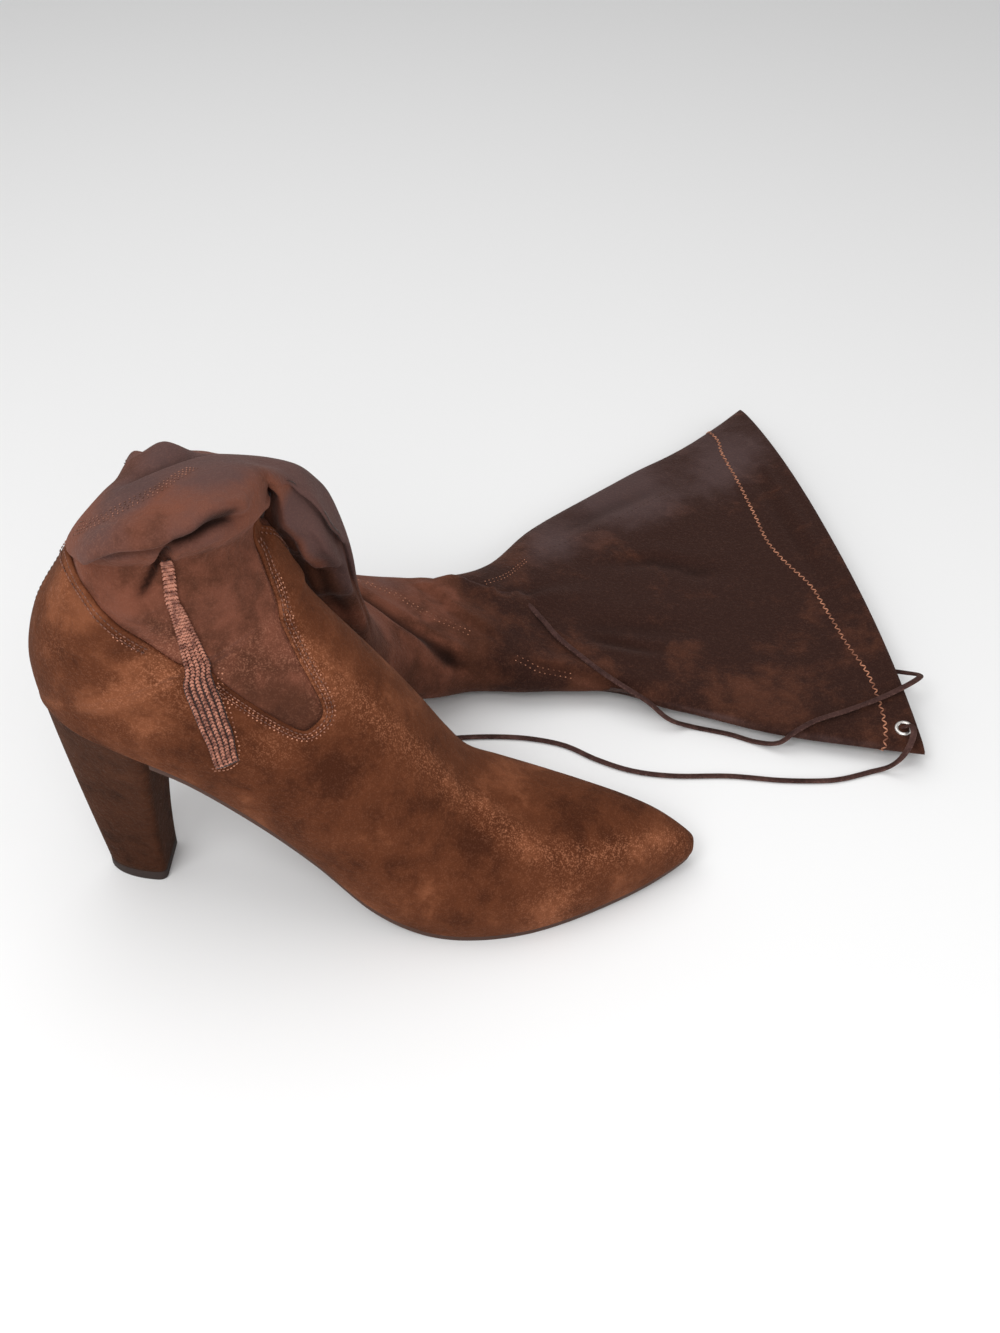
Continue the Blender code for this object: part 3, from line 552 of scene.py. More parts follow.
@dataclass(frozen=True)
class Skin:
    """The boot's skin with its folds, which every sewn-on piece lies on.

    Attributes:
        folds: Creases and ridges.
        dents: Round dents and swellings, in millimetres.
        sags: Slack places.
        TIP_REACH: Places from the toe's tip within which folds and dents fade out.
        FLOOR_GAP: Height under which nothing of the skin hangs, in millimetres.
    """

    folds: Sequence[Fold]
    dents: Sequence[Patch]
    sags: Sequence[Sag] = ()

    TIP_REACH = 0.5
    FLOOR_GAP = 0.05

    def relief(self, spots: Spots) -> Array:
        """Height of the folds and dents over the plain skin, in millimetres.

        Args:
            spots: Spots on the skin.

        Returns:
            One height for each spot.
        """
        total = np.zeros(spots.place.shape)
        for fold in self.folds:
            total += fold.height(spots)
        for dent in self.dents:
            total += dent.value(spots)
        return total * smooth_step(spots.place / self.TIP_REACH)

    def frame(self, place: Array, around: Array, height: Array) -> tuple[Array, Array]:
        """Points over the folded skin, with the plain skin's normals.

        Args:
            place: Places along the boot.
            around: Places round the section.
            height: Height over the folded skin, in millimetres.

        Returns:
            Points and unit normals.
        """
        wall = SHAFT_WALL * smooth_step((place - WALL_START) / (ANKLE - WALL_START))
        inside = Spots(place, around, wall)
        slope_p, slope_a = inside.slopes
        normal = unit(np.cross(slope_a, slope_p))
        rise = self.relief(Spots(place, around)) + height
        points = skin_points(place, around, wall) + normal * (wall + rise)[:, None]
        for sag in self.sags:
            points += sag.shift(inside)
        points[:, 2] = np.maximum(points[:, 2], self.FLOOR_GAP)
        return points, normal


class SkinLine(Spots):
    """A smooth line drawn on the skin, for seams, stitches and trims.

    Attributes:
        FINENESS: Straight pieces between two points of a route.
        FLAT: Millimetres under which a unit of place or around is held.
    """

    FINENESS = 24
    FLAT = 1e-3

    @classmethod
    def through(cls, route: Route) -> "SkinLine":
        """Line through the points of a route."""
        return cls(*Table(route).between(cls.FINENESS).T)

    def shifted(self, sideways: float) -> "SkinLine":
        """Line beside this one, sideways in millimetres, positive on its right.

        Args:
            sideways: Distance from this line.

        Returns:
            The new line.
        """
        along, across = np.maximum(self.along, self.FLAT), np.maximum(self.across, self.FLAT)
        run_p, run_a = np.gradient(self.place) * along, np.gradient(self.around) * across
        length = np.maximum(np.hypot(run_p, run_a), TINY)
        return SkinLine(self.place - run_a / length * sideways / along,
                        self.around + run_p / length * sideways / across)

    def spots(self, skin: Skin, pitch: float, height: float) -> tuple[Array, Array]:
        """Even spots along the line.

        Args:
            skin: The skin that the line lies on.
            pitch: Distance between spots, in millimetres.
            height: Height over the skin, in millimetres.

        Returns:
            Points and unit normals.
        """
        points, _ = skin.frame(self.place, self.around, np.full(self.place.shape, height))
        run = run_along(points)
        wanted = np.linspace(0, run[-1], max(2, round(run[-1] / pitch) + 1))
        place = np.interp(wanted, run, self.place)
        around = np.interp(wanted, run, self.around)
        return skin.frame(place, around, np.full(place.shape, height))


def run_along(points: Array) -> Array:
    """Distance along a line of points, from its start to each of them."""
    return np.concatenate([[0], np.cumsum(np.linalg.norm(np.diff(points, axis=0), axis=1))])


def even_points(points: Array, count: int) -> Array:
    """Line through the same points, with that many points at even distances.

    Args:
        points: Points of the line.
        count: How many it gets.

    Returns:
        The new points.
    """
    run = run_along(points)
    wanted = np.linspace(0, run[-1], count)
    return np.stack([np.interp(wanted, run, points[:, axis]) for axis in range(3)], axis=1)


def mapped_grid(across: int, along: int,
                shape: Callable[[Array, Array], Shaped]) -> bmesh.types.BMesh:
    """A grid of faces laid over a surface.

    Args:
        across: Faces in one row.
        along: Number of rows of faces.
        shape: Gives the points in millimetres, and named values, for shares across and along.

    Returns:
        The mesh, with the values as layers of its vertices.
    """
    bm = bmesh.new()
    bmesh.ops.create_grid(bm, x_segments=across, y_segments=along, size=1.0)
    spots = np.array([vertex.co for vertex in bm.verts])
    points, values = shape((spots[:, 0] + 1) / 2, (spots[:, 1] + 1) / 2)
    layers = [(bm.verts.layers.float.new(name), numbers) for name, numbers in values.items()]
    for index, vertex in enumerate(bm.verts):
        vertex.co = points[index] * MM
        for layer, numbers in layers:
            vertex[layer] = numbers[index]
    bmesh.ops.remove_doubles(bm, verts=bm.verts, dist=MERGE_WITHIN * MM)
    return bm


def close_tube(bm: bmesh.types.BMesh) -> None:
    """Fills both ends of a tube and turns its faces outwards."""
    bmesh.ops.holes_fill(bm, edges=bm.edges)
    bmesh.ops.recalc_face_normals(bm, faces=bm.faces)


def make_piece(name: str, bm: bmesh.types.BMesh, materials: Sequence[bpy.types.Material],
               stands_for: Sequence[str] = ()) -> bpy.types.Object:
    """Turns a bmesh into a piece of the boot.

    Args:
        name: The piece's name.
        bm: Its mesh, which is used up.
        materials: Its materials, in order.
        stands_for: CAD nodes that it replaces.

    Returns:
        The new object.
    """
    mesh = bpy.data.meshes.new(name)
    bm.to_mesh(mesh)
    bm.free()
    mesh.shade_smooth()
    for material in materials:
        mesh.materials.append(material)
    piece = bpy.data.objects.new(name, mesh)
    bpy.context.scene.collection.objects.link(piece)
    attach(piece, BODY)
    if stands_for:
        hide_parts(*stands_for)
    LOG.info("%s: %d faces", name, len(mesh.polygons))
    return piece


def give_wall(piece: bpy.types.Object, thickness: float, lining: int) -> None:
    """Gives a skin its wall, grown inwards.

    Args:
        piece: The skin.
        thickness: The wall's thickness in millimetres.
        lining: How many material slots further the inside's finish is.
    """
    wall = piece.modifiers.new("wall", "SOLIDIFY")
    wall.thickness = thickness * MM
    wall.offset = -1
    wall.use_rim = True
    wall.material_offset = lining


class NodeSheet:
    """Nodes of one material, laid down one by one.

    Attributes:
        MIX_SHARE: Socket of a colour mix's share; the next three are its colours and its result.
    """

    MIX_SHARE, MIX_FIRST, MIX_SECOND, MIX_RESULT = 0, 6, 7, 2

    def __init__(self, name: str, sockets: dict[str, float | Colour]) -> None:
        """Starts a material.

        Args:
            name: The material's name.
            sockets: Plain values for sockets of its shader.
        """
        self.material = bpy.data.materials.new(name + FINISH_ENDING)
        self.material.use_nodes = True
        self.tree = self.material.node_tree
        self.shader = self.tree.nodes["Principled BSDF"]
        for socket, value in sockets.items():
            colour = isinstance(value, tuple)
            self.shader.inputs[socket].default_value = (*value, 1.0) if colour else value
        self.place = self.tree.nodes.new("ShaderNodeTexCoord").outputs["Object"]

    def link(self, value: object, socket: bpy.types.NodeSocket) -> None:
        """Feeds a socket from another, or sets it.

        Args:
            value: Socket, colour or number.
            socket: Socket that takes it.
        """
        if isinstance(value, bpy.types.NodeSocket):
            self.tree.links.new(value, socket)
        elif isinstance(value, tuple):
            socket.default_value = (*value, 1.0)
        else:
            socket.default_value = value

    def dress(self, socket: str, value: bpy.types.NodeSocket) -> None:
        """Feeds one of the shader's sockets."""
        self.tree.links.new(value, self.shader.inputs[socket])

    def noise(self, size: float, detail: float = 2.0,
              distortion: float = 0.0) -> bpy.types.NodeSocket:
        """Cloudy pattern.

        Args:
            size: Size of its clouds in millimetres.
            detail: How many finer layers it has.
            distortion: How far it is pulled about.

        Returns:
            Its value, about 0.5 on average.
        """
        node = self.tree.nodes.new("ShaderNodeTexNoise")
        node.inputs["Scale"].default_value = 1 / (size * MM)
        node.inputs["Detail"].default_value = detail
        node.inputs["Distortion"].default_value = distortion
        self.tree.links.new(self.place, node.inputs["Vector"])
        return node.outputs["Fac"]

    def spread(self, value: bpy.types.NodeSocket, low: float, high: float,
               to_low: float = 0.0, to_high: float = 1.0) -> bpy.types.NodeSocket:
        """Spreads the range from low to high over another, and holds it there.

        Args:
            value: Value that is spread.
            low: Start of its range.
            high: End of its range.
            to_low: What the start becomes.
            to_high: What the end becomes.

        Returns:
            The new value.
        """
        node = self.tree.nodes.new("ShaderNodeMapRange")
        node.interpolation_type = "SMOOTHSTEP"
        self.tree.links.new(value, node.inputs["Value"])
        for socket, number in zip(("From Min", "From Max", "To Min", "To Max"),
                                  (low, high, to_low, to_high)):
            node.inputs[socket].default_value = number
        return node.outputs["Result"]

    def maths(self, operation: str, first: object, second: object) -> bpy.types.NodeSocket:
        """One sum on two values.

        Args:
            operation: Blender's name for the sum.
            first: First value.
            second: Second value.

        Returns:
            The result.
        """
        node = self.tree.nodes.new("ShaderNodeMath")
        node.operation = operation
        self.link(first, node.inputs[0])
        self.link(second, node.inputs[1])
        return node.outputs["Value"]

    def total(self, *terms: object) -> bpy.types.NodeSocket:
        """Sum of terms: each is a number, or a value and the number that it is multiplied by.

        Args:
            *terms: The terms, in order.

        Returns:
            Their sum.
        """
        parts = [self.maths("MULTIPLY", *term) if isinstance(term, tuple) else term
                 for term in terms]
        result = parts[0]
        for part in parts[1:]:
            result = self.maths("ADD", result, part)
        return result

    def blend(self, share: object, first: object, second: object) -> bpy.types.NodeSocket:
        """Mixes two colours by a share.

        Args:
            share: How much of the second colour shows.
            first: First colour.
            second: Second colour.

        Returns:
            The mixed colour.
        """
        node = self.tree.nodes.new("ShaderNodeMix")
        node.data_type = "RGBA"
        self.link(share, node.inputs[self.MIX_SHARE])
        self.link(first, node.inputs[self.MIX_FIRST])
        self.link(second, node.inputs[self.MIX_SECOND])
        return node.outputs[self.MIX_RESULT]

    def layer(self, name: str) -> bpy.types.NodeSocket:
        """Value painted on the mesh under a name, 0 where there is none.

        Args:
            name: The layer's name.

        Returns:
            Its value.
        """
        node = self.tree.nodes.new("ShaderNodeAttribute")
        node.attribute_name = name
        return node.outputs["Fac"]

    def relief(self, height: bpy.types.NodeSocket, depth: float, strength: float = 1.0,
               under: Optional[bpy.types.NodeSocket] = None) -> bpy.types.NodeSocket:
        """Fine relief of the surface.

        Args:
            height: Pattern of heights.
            depth: Its depth in millimetres.
            strength: How strongly it shows.
            under: Relief that it lies on.

        Returns:
            The bent normal.
        """
        node = self.tree.nodes.new("ShaderNodeBump")
        node.inputs["Strength"].default_value = strength
        node.inputs["Distance"].default_value = depth * MM
        self.tree.links.new(height, node.inputs["Height"])
        if under:
            self.tree.links.new(under, node.inputs["Normal"])
        return node.outputs["Normal"]


@dataclass(frozen=True)
class Suede:
    """Brushed microsuede, with a mottled nap, a fine grain and painted glints where it would catch
    the light.

    Attributes:
        name: The material's name.
        dark: Colour where the suede is darkest: nap that lies away, and painted shade.
        base: Colour between.
        warm: Colour where the suede is lightest: nap that is lit, and painted light.
        glint: Colour of the painted glints on the grain.
        sheen_and_nap_grey: Greyer colour, partly painted sheen from light above and partly raised
            nap.
        glints: How many painted glints there are all over.
        sheen: Strength of the fibres' edge light.
        sheen_tint: Its colour.
        patch: Size of the nap's patches in millimetres.
        mottle: How much the patches differ.
        felt: Depth of the felt's unevenness in millimetres.
        GRAIN, CRUMB: Sizes of the finest patterns, and the depths of their relief, in millimetres.
        TONE_SHARES: How much each finer pattern and painted layer counts in the tone.
        FULL_MOTTLE: Mottling at which the tone's average needs no correction.
        DARK_TONES, WARM_TONES: Tones between which the dark colour ends and the warm one begins.
        SHEEN_AND_NAP_RANGE: Strengths of the grey layer between which the colour greys, as painted
            sheen on raised nap.
        GLINT_SHARES: How much the grain and the crumbs count in the painted glints.
        GLINT_RANGE: Heights of the grain between which a painted glint begins.
        CREASE_SHADE: How much of the dark colour is left at the bottom of a crease, under the
            painted shade.
    """

    name: str
    dark: Colour
    base: Colour
    warm: Colour
    glint: Colour
    sheen_and_nap_grey: Colour = (0.075, 0.046, 0.045)
    glints: float = 0.06
    sheen: float = 0.05
    sheen_tint: Colour = (0.90, 0.50, 0.32)
    patch: float = 30.0
    mottle: float = 0.58
    felt: float = 1.2

    GRAIN, GRAIN_DEPTH = 0.55, 0.3
    CRUMB, CRUMB_DEPTH = 1.5, 0.7
    TONE_SHARES = {"clouds": 0.30, "crumbs": 0.06, "grain": 0.06, "tone": 0.22, "glow": 0.10}
    FULL_MOTTLE = 0.58
    DARK_TONES, WARM_TONES = (0.34, 0.52), (0.50, 0.70)
    SHEEN_AND_NAP_RANGE = (0.3, 1.0)
    GLINT_SHARES = (0.68, 0.32)
    GLINT_RANGE = (0.47, 0.66)
    CREASE_SHADE = 0.3

    def material(self) -> bpy.types.Material:
        """The finish as nodes.

        Returns:
            The material.
        """
        sheet = NodeSheet(self.name, {"Roughness": 0.8, "Specular IOR Level": 0.08,
                                      "Sheen Weight": self.sheen, "Sheen Roughness": 0.5,
                                      "Sheen Tint": self.sheen_tint})
        patches = sheet.noise(self.patch, detail=5.0, distortion=0.6)
        clouds = sheet.noise(self.patch / 4, detail=3.0, distortion=0.4)
        grain = sheet.noise(self.GRAIN)
        crumbs = sheet.noise(self.CRUMB, distortion=0.3)
        tone = self.tone(sheet, patches, {"clouds": clouds, "crumbs": crumbs, "grain": grain})
        colour = sheet.blend(sheet.spread(tone, *self.DARK_TONES), self.dark, self.base)
        colour = sheet.blend(sheet.spread(tone, *self.WARM_TONES), colour, self.warm)
        # Painted sheen: greyer where the grey layer is painted, with the clouds' random greying of
        # the nap.
        grey_share = sheet.total((sheet.layer("sheen_and_nap_grey"), 1.0), (clouds, 0.5))
        grey_share = sheet.maths("MULTIPLY", sheet.spread(grey_share, *self.SHEEN_AND_NAP_RANGE), 0.8)
        colour = sheet.blend(grey_share, colour, self.sheen_and_nap_grey)
        # Painted glints: points of the grain turned to the glint colour, stronger where highlights
        # are painted.
        points = sheet.total(*zip((grain, crumbs), self.GLINT_SHARES))
        points = sheet.spread(points, *self.GLINT_RANGE)
        lit = sheet.maths("MULTIPLY", points, sheet.total((sheet.layer("glow"), 1.0), self.glints))
        colour = sheet.blend(sheet.maths("MINIMUM", lit, 0.9), colour, self.glint)
        # Painted shade: darker towards the bottom of each crease.
        crease = sheet.spread(sheet.layer("shade"), 0.0, 1.0, to_high=0.85)
        sheet.dress("Base Color", sheet.blend(crease, colour, self.crease_shade_colour()))
        sheet.dress("Roughness", sheet.spread(points, 0.0, 1.0, to_low=0.88, to_high=0.66))
        felt = sheet.relief(clouds, self.felt, strength=0.45)
        soft = sheet.relief(crumbs, self.CRUMB_DEPTH, strength=0.55, under=felt)
        sheet.dress("Normal", sheet.relief(grain, self.GRAIN_DEPTH, strength=0.7, under=soft))
        return sheet.material

    def tone(self, sheet: "NodeSheet", patches: bpy.types.NodeSocket,
             finer: dict[str, bpy.types.NodeSocket]) -> bpy.types.NodeSocket:
        """How light the suede is: partly the nap's own lightness, partly painted light and shade
        from the painted layers.

        Args:
            sheet: The material's nodes.
            patches: Pattern of the nap's patches.
            finer: The finer patterns by name.

        Returns:
            The value, about 0.5 on average where nothing is painted.
        """
        evened = 0.5 * (self.FULL_MOTTLE - self.mottle)
        terms = [(finer.get(name) or sheet.layer(name), share)
                 for name, share in self.TONE_SHARES.items()]
        return sheet.total(evened, (patches, self.mottle), *terms)

    def crease_shade_colour(self) -> Colour:
        """Colour of the painted shade at the bottom of a crease."""
        return tuple(self.CREASE_SHADE * value for value in self.dark)


@dataclass(frozen=True)
class Thread:
    """Shiny sewing thread or zip coil.

    Attributes:
        name: The material's name.
        dark: Its darker colour.
        light: Its lighter colour.
        roughness: How matt it is.
        patch: Size of its lighter and darker spots in millimetres.
        FIBRE: Size of its fibres and depth of their relief, in millimetres.
    """

    name: str
    dark: Colour
    light: Colour
    roughness: float = 0.42
    patch: float = 3.5

    FIBRE, FIBRE_DEPTH = 0.25, 0.05

    def material(self) -> bpy.types.Material:
        """The finish as nodes.

        Returns:
            The material.
        """
        sheet = NodeSheet(self.name, {"Roughness": self.roughness, "Specular IOR Level": 0.3})
        change = sheet.spread(sheet.noise(self.patch), low=0.35, high=0.65)
        fibre = sheet.noise(self.FIBRE, detail=1.0)
        sheet.dress("Base Color", sheet.blend(change, self.dark, self.light))
        sheet.dress("Normal", sheet.relief(fibre, self.FIBRE_DEPTH, strength=0.6))
        return sheet.material


@dataclass(frozen=True)
class Woven:
    """Woven lining, tape or braid.

    Attributes:
        name: The material's name.
        dark: Colour between its threads.
        light: Colour of its threads.
        pitch: Distance between threads in millimetres.
        roughness: How matt it is.
        DEPTH, SOIL: Depth of the weave and size of its soiled spots, in millimetres.
        BAND_SCALE: Scale of the wave pattern that gives one band a metre.
        WAVER, WAVER_SCALE: How far the bands waver, and how finely.
    """

    name: str
    dark: Colour
    light: Colour
    pitch: float = 0.7
    roughness: float = 0.85

    DEPTH, SOIL = 0.2, 14.0
    BAND_SCALE = 0.31
    WAVER, WAVER_SCALE = 1.2, 3.0

    def material(self) -> bpy.types.Material:
        """The finish as nodes.

        Returns:
            The material.
        """
        sheet = NodeSheet(self.name, {"Roughness": self.roughness, "Sheen Weight": 0.1})
        warp = self.threads(sheet, "X")
        weft = self.threads(sheet, "Y")
        height = sheet.maths("MULTIPLY", warp, weft)
        soil = sheet.spread(sheet.noise(self.SOIL, detail=3.0), low=0.3, high=0.7, to_low=0.6)
        shade = sheet.maths("MULTIPLY", height, soil)
        sheet.dress("Base Color", sheet.blend(shade, self.dark, self.light))
        sheet.dress("Normal", sheet.relief(height, self.DEPTH, strength=0.7))
        return sheet.material

    def threads(self, sheet: NodeSheet, direction: str) -> bpy.types.NodeSocket:
        """Bands of threads across one direction.

        Args:
            sheet: The material's nodes.
            direction: Axis that they cross.

        Returns:
            Height of the threads.
        """
        node = sheet.tree.nodes.new("ShaderNodeTexWave")
        node.bands_direction = direction
        node.inputs["Scale"].default_value = self.BAND_SCALE / (self.pitch * MM)
        node.inputs["Distortion"].default_value = self.WAVER
        node.inputs["Detail Scale"].default_value = self.WAVER_SCALE
        sheet.tree.links.new(sheet.place, node.inputs["Vector"])
        return node.outputs["Fac"]


@dataclass(frozen=True)
class Solid:
    """Plain hard or leathery finish with fine wear.

    Attributes:
        name: The material's name.
        base: Its colour.
        worn: Its colour where it is rubbed.
        roughness: How matt it is.
        metallic: 1 for metal.
        grain: Size of its grain in millimetres.
        WEAR, GRAIN_DEPTH: Size of the rubbed spots and depth of the grain, in millimetres.
        ROUGHER: How much more matt it is where it is rubbed.
    """

    name: str
    base: Colour
    worn: Colour
    roughness: float
    metallic: float = 0.0
    grain: float = 0.8

    WEAR, GRAIN_DEPTH = 6.0, 0.06
    ROUGHER = 0.15

    def material(self) -> bpy.types.Material:
        """The finish as nodes.

        Returns:
            The material.
        """
        sheet = NodeSheet(self.name, {"Metallic": self.metallic})
        wear = sheet.noise(self.WEAR, detail=4.0, distortion=0.5)
        grain = sheet.noise(self.grain, detail=3.0)
        rubbed = sheet.spread(wear, low=0.5, high=0.75)
        rougher = min(1.0, self.roughness + self.ROUGHER)
        sheet.dress("Base Color", sheet.blend(rubbed, self.base, self.worn))
        sheet.dress("Roughness", sheet.spread(wear, 0.3, 0.8, self.roughness, rougher))
        sheet.dress("Normal", sheet.relief(grain, self.GRAIN_DEPTH, strength=0.4))
        return sheet.material


class Finish(Enum):
    """Every finish on the boot."""

    CHESTNUT = Suede("chestnut_suede", dark=(0.048, 0.0130, 0.0050), base=(0.096, 0.0280, 0.0110),
                     warm=(0.195, 0.0640, 0.0280), glint=(0.42, 0.165, 0.085))
    STRETCH = Suede("stretch_suede", dark=(0.026, 0.0095, 0.0065), base=(0.070, 0.0240, 0.0130),
                    warm=(0.165, 0.0560, 0.0330), glint=(0.38, 0.165, 0.100), glints=0.05,
                    sheen=0.08, sheen_tint=(0.85, 0.56, 0.50), patch=36.0, mottle=0.46, felt=0.6)
    # Darker copy of the chestnut suede: painted shade for the heel's upright sides, which get less
    # light.
    HEEL = Suede("heel_suede", dark=(0.026, 0.0085, 0.0040), base=(0.048, 0.0160, 0.0075),
                 warm=(0.078, 0.0265, 0.0120), glint=(0.24, 0.095, 0.050), glints=0.03,
                 sheen=0.03, patch=18.0)
    LINING = Woven("boot_lining", dark=(0.034, 0.0125, 0.0080), light=(0.085, 0.0330, 0.0210))
    TAPE = Woven("zip_tape", dark=(0.022, 0.0065, 0.0045), light=(0.060, 0.019, 0.012), pitch=0.6)
    COIL = Thread("zip_coil", dark=(0.16, 0.055, 0.036), light=(0.46, 0.195, 0.130),
                  roughness=0.38, patch=1.8)
    COPPER = Thread("copper_thread", dark=(0.20, 0.075, 0.042), light=(0.52, 0.225, 0.130))
    RUST = Thread("rust_thread", dark=(0.090, 0.036, 0.024), light=(0.27, 0.115, 0.075))
    BROWN = Thread("brown_thread", dark=(0.040, 0.016, 0.011), light=(0.095, 0.040, 0.027))
    LACE = Suede("lace_suede", dark=(0.026, 0.0125, 0.0115), base=(0.050, 0.0240, 0.0210),
                 warm=(0.085, 0.042, 0.036), glint=(0.20, 0.105, 0.085), glints=0.08, patch=12.0)
    SOLE = Solid("sole_leather", base=(0.056, 0.0205, 0.0105), worn=(0.066, 0.0270, 0.0150),
                 roughness=0.6)
    LIFT = Solid("lift_rubber", base=(0.024, 0.012, 0.009), worn=(0.045, 0.026, 0.020),
                 roughness=0.75, grain=0.5)
    NICKEL = Solid("eyelet_nickel", base=(0.66, 0.63, 0.60), worn=(0.48, 0.44, 0.40),
                   roughness=0.22, metallic=1.0)

    def dress(self) -> bpy.types.Material:
        """The finish's material, made once."""
        made = bpy.data.materials.get(self.value.name + FINISH_ENDING)
        return made or self.value.material()


def sew(name: str, spots: Sequence[Stitch], size: Triple, finish: Finish,
        stands_for: Sequence[str] = ()) -> bpy.types.Object:
    """Joins many small rounded stitches or beads into one piece.

    Args:
        name: The piece's name.
        spots: Where each stitch lies.
        size: Half of its length, width and height in millimetres.
        finish: Its finish.
        stands_for: CAD nodes that it replaces.

    Returns:
        The new object.
    """
    bm = bmesh.new()
    for middle, direction, normal in spots:
        axes = Matrix([direction, np.cross(normal, direction), normal]).transposed()
        place = Matrix.Translation(Vector(middle * MM)) @ axes.to_4x4()
        scale = Matrix.Diagonal((*(value * MM for value in size), 1.0))
        bmesh.ops.create_uvsphere(bm, u_segments=6, v_segments=4, radius=1.0, matrix=place @ scale)
    return make_piece(name, bm, [finish.dress()], stands_for)


def stitch_spots(skin: Skin, line: SkinLine, pitch: float, height: float,
                 slant: float = 0.0) -> list[Stitch]:
    """Spots of a row of stitches.

    Args:
        skin: The skin that they lie on.
        line: Their line.
        pitch: Distance between stitches in millimetres.
        height: Height of their middles over the skin.
        slant: Angle of a stitch off the line in degrees, to one side and the other by turns.

    Returns:
        Where each stitch lies.
    """
    points, normals = line.spots(skin, pitch, height)
    runs = unit(np.gradient(points, axis=0))
    spots = []
    for index, (point, run, normal) in enumerate(zip(points, runs, normals)):
        side = unit(np.cross(normal, run)[None])[0]
        turn = math.radians(slant) * (1 if index % 2 else -1)
        direction = run * math.cos(turn) + side * math.sin(turn)
        direction = unit((direction - normal * np.dot(direction, normal))[None])[0]
        spots.append((point, direction, normal))
    return spots


class LightRow(NamedTuple):
    """A square soft light: where it hangs in millimetres, its width in metres, its watts."""

    name: str
    at: Triple
    size: float
    power: float


@dataclass
class Studio:
    """Pale floor, soft lights and the camera.

    Attributes:
        camera_at: Where the camera stands, in millimetres.
        looks_at: The point that it and the lights look at.
        lens: Its focal length in millimetres.
        clip: Nearest and farthest distance that it shows, in metres.
        floor_size: Width of the floor in metres.
        floor_colour: The floor's colour.
        world_strength: Strength of the even white light from all round.
        lights: The lights.
    """

    camera_at: Triple = (149.3, -391.7, 418.6)
    looks_at: Triple = (137.6, 73.8, 40.0)
    lens: float = 39.4
    clip: tuple[float, float] = (0.01, 50.0)
    floor_size: float = 8.0
    floor_colour: Colour = (0.86, 0.86, 0.86)
    world_strength: float = 0.52
    lights: tuple[LightRow, ...] = (LightRow("key", (-250, -560, 900), 0.40, 3.3),
                                    LightRow("front", (190, -800, 560), 0.8, 4.2),
                                    LightRow("top", (-200, 300, 1300), 1.2, 5.5),
                                    LightRow("side", (1300, -200, 700), 0.7, 1.5))

    def build(self) -> None:
        """Sets up the whole studio."""
        self.place_camera()
        self.lay_floor()
        for light in self.lights:
            self.hang(light)
        world = bpy.data.worlds.new("studio")
        world.use_nodes = True
        background = world.node_tree.nodes["Background"]
        background.inputs["Color"].default_value = (1.0, 1.0, 1.0, 1.0)
        background.inputs["Strength"].default_value = self.world_strength
        bpy.context.scene.world = world
        bpy.context.scene.view_settings.view_transform = "Standard"

    def aim(self, name: str, data: bpy.types.ID, at: Triple) -> bpy.types.Object:
        """Puts a camera or light in place, turned towards the boot.

        Args:
            name: Its name.
            data: The camera's or light's own data.
            at: Where it is, in millimetres.

        Returns:
            The new object.
        """
        thing = bpy.data.objects.new(name, data)
        place, target = Vector(at) * MM, Vector(self.looks_at) * MM
        thing.location = place
        thing.rotation_euler = (target - place).to_track_quat("-Z", "Y").to_euler()
        bpy.context.scene.collection.objects.link(thing)
        return thing

    def place_camera(self) -> None:
        """Makes the camera."""
        data = bpy.data.cameras.new("camera")
        data.lens = self.lens
        data.clip_start, data.clip_end = self.clip
        bpy.context.scene.camera = self.aim("camera", data, self.camera_at)

    def lay_floor(self) -> None:
        """Lays the floor, which is no part of the boot."""
        bm = bmesh.new()
        bmesh.ops.create_grid(bm, x_segments=2, y_segments=2, size=self.floor_size / 2)
        mesh = bpy.data.meshes.new("floor")
        bm.to_mesh(mesh)
        bm.free()
        sheet = NodeSheet("floor_paper", {"Base Color": self.floor_colour, "Roughness": 0.9})
        mesh.materials.append(sheet.material)
        floor = bpy.data.objects.new("floor", mesh)
        bpy.context.scene.collection.objects.link(floor)

    def hang(self, light: LightRow) -> None:
        """Hangs one light.

        Args:
            light: Its name, size, power and place.
        """
        data = bpy.data.lights.new(light.name, "AREA")
        data.size, data.energy = light.size, light.power
        self.aim(light.name, data, light.at)


